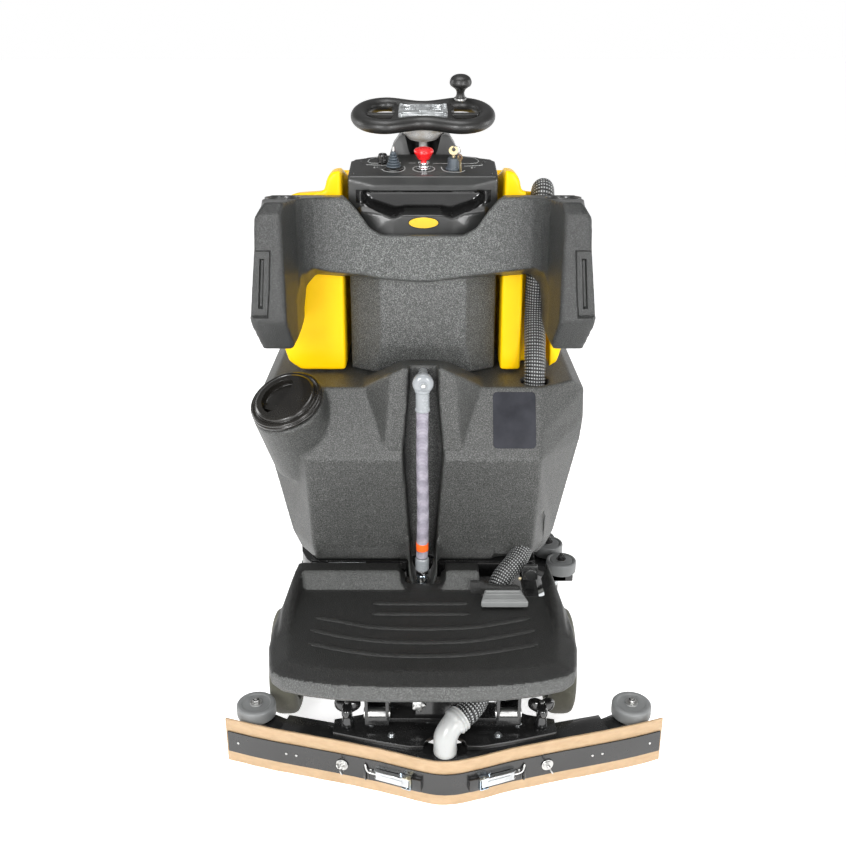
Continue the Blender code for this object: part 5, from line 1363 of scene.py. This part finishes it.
make("deck_skirt", band(0.1634, 0.1672, 0.022, 0.108, 0.003), "skirt", "deck", 40)
make("deck_clamp_band", band(0.1670, 0.1688, 0.082, 0.098), "zinc", "deck", 40)
for side, bx_ in BXS:
    make("brush_motor_skin_" + side, join(
        lathe(rounded([(0, 0.1656), (0.0395, 0.1656), (0.0395, 0.1700), (0.0360, 0.1715), (0.0360, 0.2010), (0.0340, 0.2060), (0.0295, 0.2100),
                       (0.0120, 0.2110), (0.0120, 0.2135), (0, 0.2135)], 0.0012, 2), V(bx_, DY, 0), (0, 0, 1), 56,
              wave=lambda t, r, h: 0.0008 * cos(24 * t) if 0.173 < h < 0.2 and r > 0.034 else 0.0),
        *[lathe(rounded([(0, 0.1656), (0.0030, 0.1656), (0.0030, 0.1725), (0, 0.1730)], 0.0004, 2),
                V(bx_ + 0.0365 * cos(a), DY + 0.0365 * sin(a), 0.0), (0, 0, 1), 16) for a in (0.8, 2.4, 3.9, 5.5)]),
         "steel", "deck", 40, ("brush_motor_" + side,))
    random.seed(5)
    parts = [lathe(rounded([(0.0160, 0.164), (0.0100, 0.164), (0.0100, 0.058), (0.0300, 0.030), (0.050, 0.030), (0.052, 0.0335),
                            (0.1430, 0.0335), (0.1450, 0.0360), (0.1440, 0.0480), (0.040, 0.0550), (0.030, 0.120), (0.0160, 0.122)], 0.001, 2),
                   V(bx_, DY, 0), (0, 0, 1), 72, closed=True)]
    make("brush_plate_" + side, join(*parts), "battery", "brush_" + side, 40, ("scrub_brush_" + side,))
    tufts = bmesh.new()
    for rr, cnt, lean in ((0.1405, 84, 0.0090), (0.1280, 74, 0.0045), (0.1130, 62, 0.002), (0.0960, 50, 0.0), (0.0780, 40, -0.001), (0.0620, 30, -0.002)):
        for k in range(cnt):
            a = 2 * pi * (k + 0.5 * (cnt % 4)) / cnt
            d, e = V(cos(a), sin(a), 0), V(-sin(a), cos(a), 0)
            base_p, foot = V(bx_, DY, 0.036) + d * rr, V(bx_, DY, 0.0004) + d * (rr + lean) + e * random.uniform(-0.0015, 0.0015)
            vs = []
            for p, w_ in ((base_p, 0.0022), (foot, 0.0043)):
                vs.append([tufts.verts.new(p + d * (w_ * cos(q)) + e * (w_ * sin(q))) for q in [2 * pi * j / 6 for j in range(6)]])
            for j in range(6):
                i2 = (j + 1) % 6
                tufts.faces.new([vs[0][j], vs[0][i2], vs[1][i2], vs[1][j]])
            tufts.faces.new(vs[0])
            tufts.faces.new(vs[1])
    bmesh.ops.recalc_face_normals(tufts, faces=tufts.faces)
    make("brush_tufts_" + side, tufts, "bristle", "brush_" + side, 60)

DRL = (("rear", (0.325, 0.364)), ("front", (0.304, 0.448)))
ROLL = [(0.0105, 0.0010), (0.0240, 0.0010), (0.0262, 0.0030), (0.0290, 0.0004), (0.0330, 0.0004), (0.0350, 0.0030), (0.0350, 0.0270),
        (0.0330, 0.0296), (0.0290, 0.0296), (0.0262, 0.0272), (0.0240, 0.0290), (0.0105, 0.0290)]
for tag, (rx, ry) in DRL:
    c = V(rx, ry, 0.1660)
    make("roller_skin_" + tag, lathe(rounded(ROLL, 0.001, 2), c, (0, 0, 1), 64, closed=True), "roller", "roller_" + tag, 40,
         ("deck_roller_" + tag,))
    make("roller_bush_" + tag, ring(c + V(0, 0, 0.0002), c + V(0, 0, 0.0302), 0.0104, 0.0064, 32, 0.0005), "steel", "roller_" + tag)
    make("roller_bolt_" + tag, join(ring(c + V(0, 0, 0.0304), c + V(0, 0, 0.0322), 0.0112, 0.003, 32, 0.0003),
                                    loft([[c + V(0.0075 * cos(pi * k / 3), 0.0075 * sin(pi * k / 3), z) for k in range(6)] for z in (0.0322, 0.0392)]),
                                    cyl(c + V(0, 0, 0.039), c + V(0, 0, 0.0440), 0.0045, 20, chamfer=0.0006)), "paint", "deck")
make("deck_bracket", bevel(hull([V(x, y, z) for x, y in ((0.352, 0.345), (0.352, 0.380), (0.322, 0.470), (0.290, 0.470), (0.300, 0.345))
                                 for z in (0.1475, 0.1640)]), 0.002, 2), "paint", "deck")

# ============================================================ squeegee
SQL = [(0.0, -0.2235), (0.020, -0.2220), (0.040, -0.2165), (0.070, -0.2065), (0.125, -0.1865), (0.207, -0.1625),
       (0.265, -0.1470), (0.325, -0.1310), (0.375, -0.1160), (0.430, -0.0965)]


def sq_raw(a):
    for (x0, y0), (x1, y1) in zip(SQL, SQL[1:]):
        if a <= x1 + 1e-9:
            break
    t = (a - x0) / (x1 - x0)
    return y0 + (y1 - y0) * t


def sq_at(d, off=0.0, z=0.0):
    """A point on the blade's rear face at distance d from its middle, moved forward by off."""
    a = abs(d)
    y = (sq_raw(max(0.0, a - 0.006)) + sq_raw(a) + sq_raw(min(0.43, a + 0.006))) / 3 if a < 0.424 else sq_raw(a)
    sl = (sq_raw(min(0.43, a + 0.005)) - sq_raw(max(0.0, a - 0.005))) / (min(0.43, a + 0.005) - max(0.0, a - 0.005))
    sl = sl if a > 0.004 else 0.0
    n = V(-sl, 1.0, 0).normalized()
    s = 1.0 if d >= 0 else -1.0
    return V(SQ_X + s * (a + n.x * off), y + n.y * off, z)


def sq_dir(d):
    """Outward (rearward) normal and the direction along the blade."""
    n = (sq_at(d, 0.0) - sq_at(d, 0.01)).normalized()
    return n, V(-n.y, n.x, 0).normalized() * -1.0


def curved(o0, o1, z0, z1, ends, step=0.008, wav=None, soft=0.0006):
    m = int(round(2 * ends / step))
    rings = []
    for i in range(m + 1):
        d = -ends + 2 * ends * i / m
        w_ = wav(d) if wav else 0.0
        b = soft
        rows = [(o0 + b, z0), (o0, z0 + b), (o0, z1 - b), (o0 + b, z1), (o1 - b, z1), (o1, z1 - b), (o1, z0 + b), (o1 - b, z0)]
        rings.append([sq_at(d, a + w_ * (1.0 if z < 0.5 * (z0 + z1) else 0.3), z) for a, z in rows])
    return loft(rings)


make("blade_rear_skin", curved(0.0, 0.004, 0.0002, 0.1000, 0.4296, 0.008, lambda d: 0.00035 * sin(d * 61) + 0.00025 * sin(d * 137)), "blade",
     "squeegee", 40, ("squeegee_blade_rear",))
make("blade_front_skin", curved(0.0505, 0.0540, 0.0002, 0.085, 0.300, 0.008, lambda d: 0.0003 * sin(d * 71)), "blade", "squeegee", 40,
     ("squeegee_blade_front",))
strap = [curved(-0.0032, -0.0006, 0.0255, 0.0730, 0.4255, 0.008, None, 0.0005)]
for s in (-1, 1):
    for d0, d1 in ((0.042, 0.062),):
        pts = []
        for z in (0.0335, 0.0600):
            pts.append([sq_at(s * d0, -0.002, z), sq_at(s * d1, -0.002, z), sq_at(s * d1, -0.0125, z), sq_at(s * d0, -0.0125, z)])
        strap.append(bevel(loft(pts), 0.001, 2))
make("strap_skin", join(*strap), "paint", "squeegee", 35, ("squeegee_strap",))
# small rivets along the strap
slots = []
for s in (-1, 1):
    for d in (0.286, 0.306, 0.140, 0.404):
        n, t = sq_dir(s * d)
        c = sq_at(s * d, -0.0033, 0.050)
        slots.append(lathe(rounded([(0, 0.0), (0.0026, 0.0), (0.0024, 0.0008), (0.0014, 0.0013), (0, 0.0014)], 0.0003, 2), c, n, 20))
make("strap_rivets", join(*slots), "steel", "squeegee", 40)

hard_body("squeegee_body", "paint", "squeegee", 0.0018, 2, 28, 40)
hard_body("yoke_plate", "paint", "squeegee", 0.0018, 2, 25, 40)
bolts = []
for x, y in ((-0.100, -0.125), (0.183, -0.125), (0.010, -0.112), (0.073, -0.112), (-0.060, -0.160), (0.143, -0.160)):
    c = V(x, y, 0.1103)
    bolts.append(ring(c, c + V(0, 0, 0.0012), 0.0078, 0.003, 28, 0.0003))
    bolts.append(bevel(loft([[c + V(0.0058 * cos(pi * k / 3), 0.0058 * sin(pi * k / 3), z) for k in range(6)] for z in (0.0010, 0.0052)]), 0.0005, 1))
make("yoke_bolts", join(*bolts), "zinc", "squeegee")

# over-centre latches with their inner hinge brackets and hooks
for s, side in ((-1, "left"), (1, "right")):
    def at(d, off, z):
        return sq_at(s * d, off, z)
    parts = []
    for z0, z1 in ((0.0385, 0.0398), (0.0552, 0.0565)):
        parts.append(loft([[at(0.0640, -0.0044, z), at(0.1300, -0.0044, z), at(0.1320, -0.0085, z), at(0.1270, -0.0125, z), at(0.0640, -0.0138, z)]
                           for z in (z0, z1)]))
    parts.append(bevel(loft([[at(0.0640, -0.0126, z), at(0.1275, -0.0113, z), at(0.1275, -0.0127, z), at(0.0640, -0.0142, z)]
                             for z in (0.0385, 0.0565)]), 0.0005, 1))
    parts.append(loft([[at(0.0760, -0.0142, z), at(0.1180, -0.0134, z), at(0.1180, -0.0140, z), at(0.0760, -0.0150, z)] for z in (0.0440, 0.0510)]))
    make("latch_lever_" + side, join(*parts), "zinc", "latch_" + side, 40, ("latch_" + side,))
    br = []
    for z0, z1 in ((0.0350, 0.0366), (0.0584, 0.0600)):
        br.append(loft([[at(0.0615, -0.0038, z), at(0.0800, -0.0038, z), at(0.0770, -0.0150, z), at(0.0615, -0.0165, z)] for z in (z0, z1)]))
    br.append(loft([[at(0.0600, -0.0036, z), at(0.0830, -0.0036, z), at(0.0830, -0.0046, z), at(0.0600, -0.0046, z)] for z in (0.0350, 0.0600)]))
    br.append(cyl(at(0.0690, -0.0110, 0.0335), at(0.0690, -0.0110, 0.0615), 0.0022, 16, chamfer=0.0003))
    n, t = sq_dir(s * 0.061)
    br.append(loft([[at(0.0600, -0.0040, z), at(0.0615, -0.0040, z), at(0.0615, -0.0160, z), at(0.0600, -0.0160, z)] for z in (0.0355, 0.0595)]))
    make("latch_bracket_" + side, join(*br), "zincblue", "squeegee", 40)
    hook = smooth_path([at(0.1180, -0.0085, 0.0475), at(0.1360, -0.0085, 0.0475), at(0.1450, -0.0080, 0.0500), at(0.1480, -0.0070, 0.0580),
                        at(0.1500, -0.0050, 0.0620)], 0.0025)
    make("latch_hook_" + side, sweep(hook, 0.0019, 12), "steel", "latch_" + side, 60)
    keeper = smooth_path([at(0.1480, -0.0030, 0.0300), at(0.1482, -0.0090, 0.0310), at(0.1486, -0.0100, 0.0400), at(0.1490, -0.0090, 0.0500),
                          at(0.1490, -0.0030, 0.0520)], 0.0025)
    make("latch_keeper_" + side, join(sweep(keeper, 0.0020, 12),
                                      bevel(loft([[at(0.1430, -0.0030, z), at(0.1540, -0.0030, z), at(0.1540, -0.0046, z), at(0.1430, -0.0046, z)]
                                                  for z in (0.0285, 0.0540)]), 0.0006, 1)), "paint", "squeegee", 50)
    # thumb screw with washer
    n, t = sq_dir(s * 0.195)
    cc = sq_at(s * 0.195, -0.0042, 0.050)
    ts = [ring(cc + n * 0.0002, cc + n * 0.0018, 0.0118, 0.003, 40, 0.0004), ring(cc + n * 0.0018, cc + n * 0.0034, 0.0085, 0.003, 32, 0.0003),
          cyl(cc + n * 0.0005, cc + n * 0.0110, 0.0034, 20, chamfer=0.0004)]
    wing = []
    for q in (-1, 1):
        pts = [(0.0060, 0.0000), (0.0170, 0.0035), (0.0178, 0.0100), (0.0140, 0.0135), (0.0080, 0.0090)]
        ax = (V(0, 0, 1) * 0.88 + t * 0.48).normalized()
        ws = ax.cross(n).normalized()
        wing.append(bevel(loft([[cc + n * h + ax * (q * w_) + ws * th for h, w_ in pts] for th in (-0.0012, 0.0012)]), 0.0006, 1))
    make("thumbscrew_skin_" + side, join(*ts, *wing), "steel", "screw_" + side, 40, ("thumbscrew_" + side,))

# bumper wheels
for side, s in (("left", -1), ("right", 1)):
    c = V(SQ_X + s * 0.3730, -0.065, 0.0860)
    h = 0.0280
    prof = [(0.0120, 0.0020), (0.0270, 0.0016), (0.0290, 0.0), (0.0355, 0.0), (0.0385, 0.0025), (0.0390, 0.0060), (0.0390, h - 0.0060),
            (0.0385, h - 0.0025), (0.0355, h), (0.0290, h), (0.0270, h - 0.0016), (0.0120, h - 0.0020)]
    make("bumper_wheel_skin_" + side, lathe(rounded(prof, 0.0012, 2), c, (0, 0, 1), 72, closed=True), "roller", "bumper_" + side, 40,
         ("squeegee_wheel_" + side,))
    make("bumper_bush_" + side, ring(c + V(0, 0, 0.0006), c + V(0, 0, h - 0.0006), 0.0118, 0.0064, 36, 0.0005), "grey", "bumper_" + side)
    top = c + V(0, 0, h + 0.0004)
    make("bumper_bolt_" + side, join(ring(top, top + V(0, 0, 0.0016), 0.0120, 0.003, 36, 0.0003),
                                     bevel(loft([[top + V(0.0072 * cos(pi * k / 3 + 0.3), 0.0072 * sin(pi * k / 3 + 0.3), z) for k in range(6)]
                                                 for z in (0.0014, 0.0070)]), 0.0006, 1),
                                     cyl(top + V(0, 0, 0.006), top + V(0, 0, 0.0098), 0.0038, 20, chamfer=0.0005)), "steel", "squeegee")

# tri-lobe clamp knobs
for side, kx in (("left", -0.145), ("right", 0.2270)):
    def lobe(k, n=54):
        pts = []
        for i in range(n):
            t = 2 * pi * i / n
            r = (0.0195 + 0.0090 * cos(3 * t - pi / 2)) * k
            pts.append((kx + r * cos(t), -0.130 + r * sin(t)))
        return pts
    rows = []
    for k, z in ((0.42, 0.1400), (0.62, 0.1418), (0.88, 0.1450), (0.99, 0.1490), (1.0, 0.1540), (0.97, 0.1590), (0.86, 0.1628), (0.62, 0.1645),
                 (0.40, 0.1640)):
        rows.append([V(x, y, z) for x, y in lobe(k)])
    kn = [loft(rows), lathe(rounded([(0.0055, 0.1112), (0.0125, 0.1112), (0.0118, 0.1200), (0.0095, 0.1310), (0.0100, 0.1430), (0.0055, 0.1430)],
                                    0.0015, 3), V(kx, -0.130, 0), (0, 0, 1), 40, closed=True)]
    make("clamp_knob_" + side, join(*kn), "gloss", "knob_" + side, 50, ("wing_knob_" + side,))
    make("clamp_stud_" + side, cyl(V(kx, -0.130, 0.1116), V(kx, -0.130, 0.1655), 0.0050, 24, chamfer=0.0006), "steel", "knob_" + side)

# lift arm with its short bright tubes, adjuster
hard_body("lift_arm", "paint", "lift", 0.0018, 2, 28, 40)
tubes = []
for a in (-0.111, 0.1400):
    tubes.append(lathe(rounded([(0.0052, 0.0), (0.0105, 0.0), (0.0105, 0.0500), (0.0052, 0.0500)], 0.0010, 2), V(a - 0.002, -0.1330, 0.1420), (1, 0, 0),
                       36, closed=True))
make("bracket_tubes", join(*tubes), "steel", "lift", 40)
AK = V(-0.008, -0.1260, 0.163)
star = []
for k in range(60):
    t = 2 * pi * k / 60
    r = 0.0122 + 0.0024 * cos(5 * t)
    star.append((AK.x + r * cos(t), AK.z + r * sin(t)))


def star_row(k, y):
    return [V(AK.x + (x - AK.x) * k, y, AK.z + (z - AK.z) * k) for x, z in star]


make("adjust_knob_skin", join(loft([star_row(0.70, -0.1270), star_row(0.96, -0.1285), star_row(1.0, -0.1310), star_row(1.0, -0.1380),
                                    star_row(0.94, -0.1408), star_row(0.70, -0.1420)]),
                              lathe(rounded([(0, 0.0), (0.0046, 0.0), (0.0046, 0.0016), (0, 0.0020)], 0.0004, 2), V(AK.x, -0.1420, AK.z), (0, -1, 0), 28)),
     "steel", "adjuster", 45, ("adjust_knob",))



# ---------------------------------------------------------- everything not yet made
PLAIN = {"chassis_frame": ("paint", 0.0012), "rear_axle": ("steel", 0.0008), "drive_fork": ("paint", 0.0012),
         "front_bumper": ("satin", 0.003), "battery_pack": ("battery", 0.004), "vacuum_motor": ("steel", 0.0015)}
for node in NODES:
    if node in DONE:
        continue
    look, w = PLAIN.get(node, ("satin", 0.001))
    hard_body(node, look, BODY_OF[node], w)

# ================================================================ camera, light
cam = bpy.data.cameras.new("camera")
cam.sensor_width = 36.0
cam.lens = 42.89
cam.clip_end = 200.0
cam_o = bpy.data.objects.new("camera", cam)
cam_o.location = (-0.0415, -2.1435, 1.37)
cam_o.rotation_euler = (radians(68.3), 0, 0)
COLL.objects.link(cam_o)
bpy.context.scene.camera = cam_o


def area(name, loc, aim, size, power, size_y=None, col=(1, 1, 1)):
    li = bpy.data.lights.new(name, "AREA")
    li.energy = power
    li.color = col
    li.shape = "RECTANGLE"
    li.size = size
    li.size_y = size_y or size
    o = bpy.data.objects.new(name, li)
    o.location = loc
    d = Vector(aim) - Vector(loc)
    o.rotation_euler = d.to_track_quat("-Z", "Y").to_euler()
    COLL.objects.link(o)
    return o


area("key", (-1.5, -3.4, 1.9), (0, 0, 0.7), 1.1, 120.0, 1.5)
area("fill", (1.7, -3.3, 1.6), (0, 0, 0.6), 1.0, 88.0, 1.4)
area("top", (-0.2, -0.2, 3.8), (0, 0, 0.5), 1.8, 46.0, 1.4)
area("rim_left", (-3.0, 0.8, 1.6), (0, 0, 0.7), 0.7, 30.0, 1.8)
area("rim_right", (3.0, 0.8, 1.6), (0, 0, 0.7), 0.7, 30.0, 1.8)

world = bpy.data.worlds.new("world")
world.use_nodes = True
wt = world.node_tree
bg = wt.nodes["Background"]
wc = wt.nodes.new("ShaderNodeTexCoord")
ws = wt.nodes.new("ShaderNodeSeparateXYZ")
wt.links.new(wc.outputs["Generated"], ws.inputs["Vector"])
wr = wt.nodes.new("ShaderNodeValToRGB")
el_ = wr.color_ramp.elements
for _ in range(3):
    el_.new(0.5)
for e_, (p_, c_) in zip(el_, ((0.0, 1.0), (0.57, 1.0), (0.66, 0.22), (0.80, 0.20), (1.0, 0.34))):
    e_.position, e_.color = p_, (c_, c_, c_, 1)
wm_ = wt.nodes.new("ShaderNodeMapRange")
wm_.inputs["From Min"].default_value, wm_.inputs["From Max"].default_value = -1.0, 1.0
wt.links.new(ws.outputs["Z"], wm_.inputs["Value"])
wt.links.new(wm_.outputs["Result"], wr.inputs["Fac"])
wt.links.new(wr.outputs["Color"], bg.inputs["Color"])
bg.inputs["Strength"].default_value = 1.0
bpy.context.scene.world = world
bpy.context.scene.view_settings.view_transform = "Standard"
bpy.context.scene.view_settings.look = "None"

fm, ft, fb = new_mat("mat_floor")
fn = noise(ft, coords(ft), 1.2, 3.0, 0.5)
link(ft, mixc(ft, fn, (0.93, 0.93, 0.93), (0.95, 0.95, 0.95)), fb, "Base Color")
link(ft, mixc(ft, fn, (0.97, 0.97, 0.97), (1.0, 1.0, 1.0)), fb, "Emission Color")
fb.inputs["Emission Strength"].default_value = 0.74
fb.inputs["Roughness"].default_value = 0.75
fb.inputs["Specular IOR Level"].default_value = 0.2
bm = bmesh.new()
bmesh.ops.create_grid(bm, x_segments=8, y_segments=8, size=40.0)
me = bpy.data.meshes.new("floor")
bm.to_mesh(me)
bm.free()
me.materials.append(fm)
floor = bpy.data.objects.new("floor", me)
floor.location = (0, 0, -0.0002)
COLL.objects.link(floor)
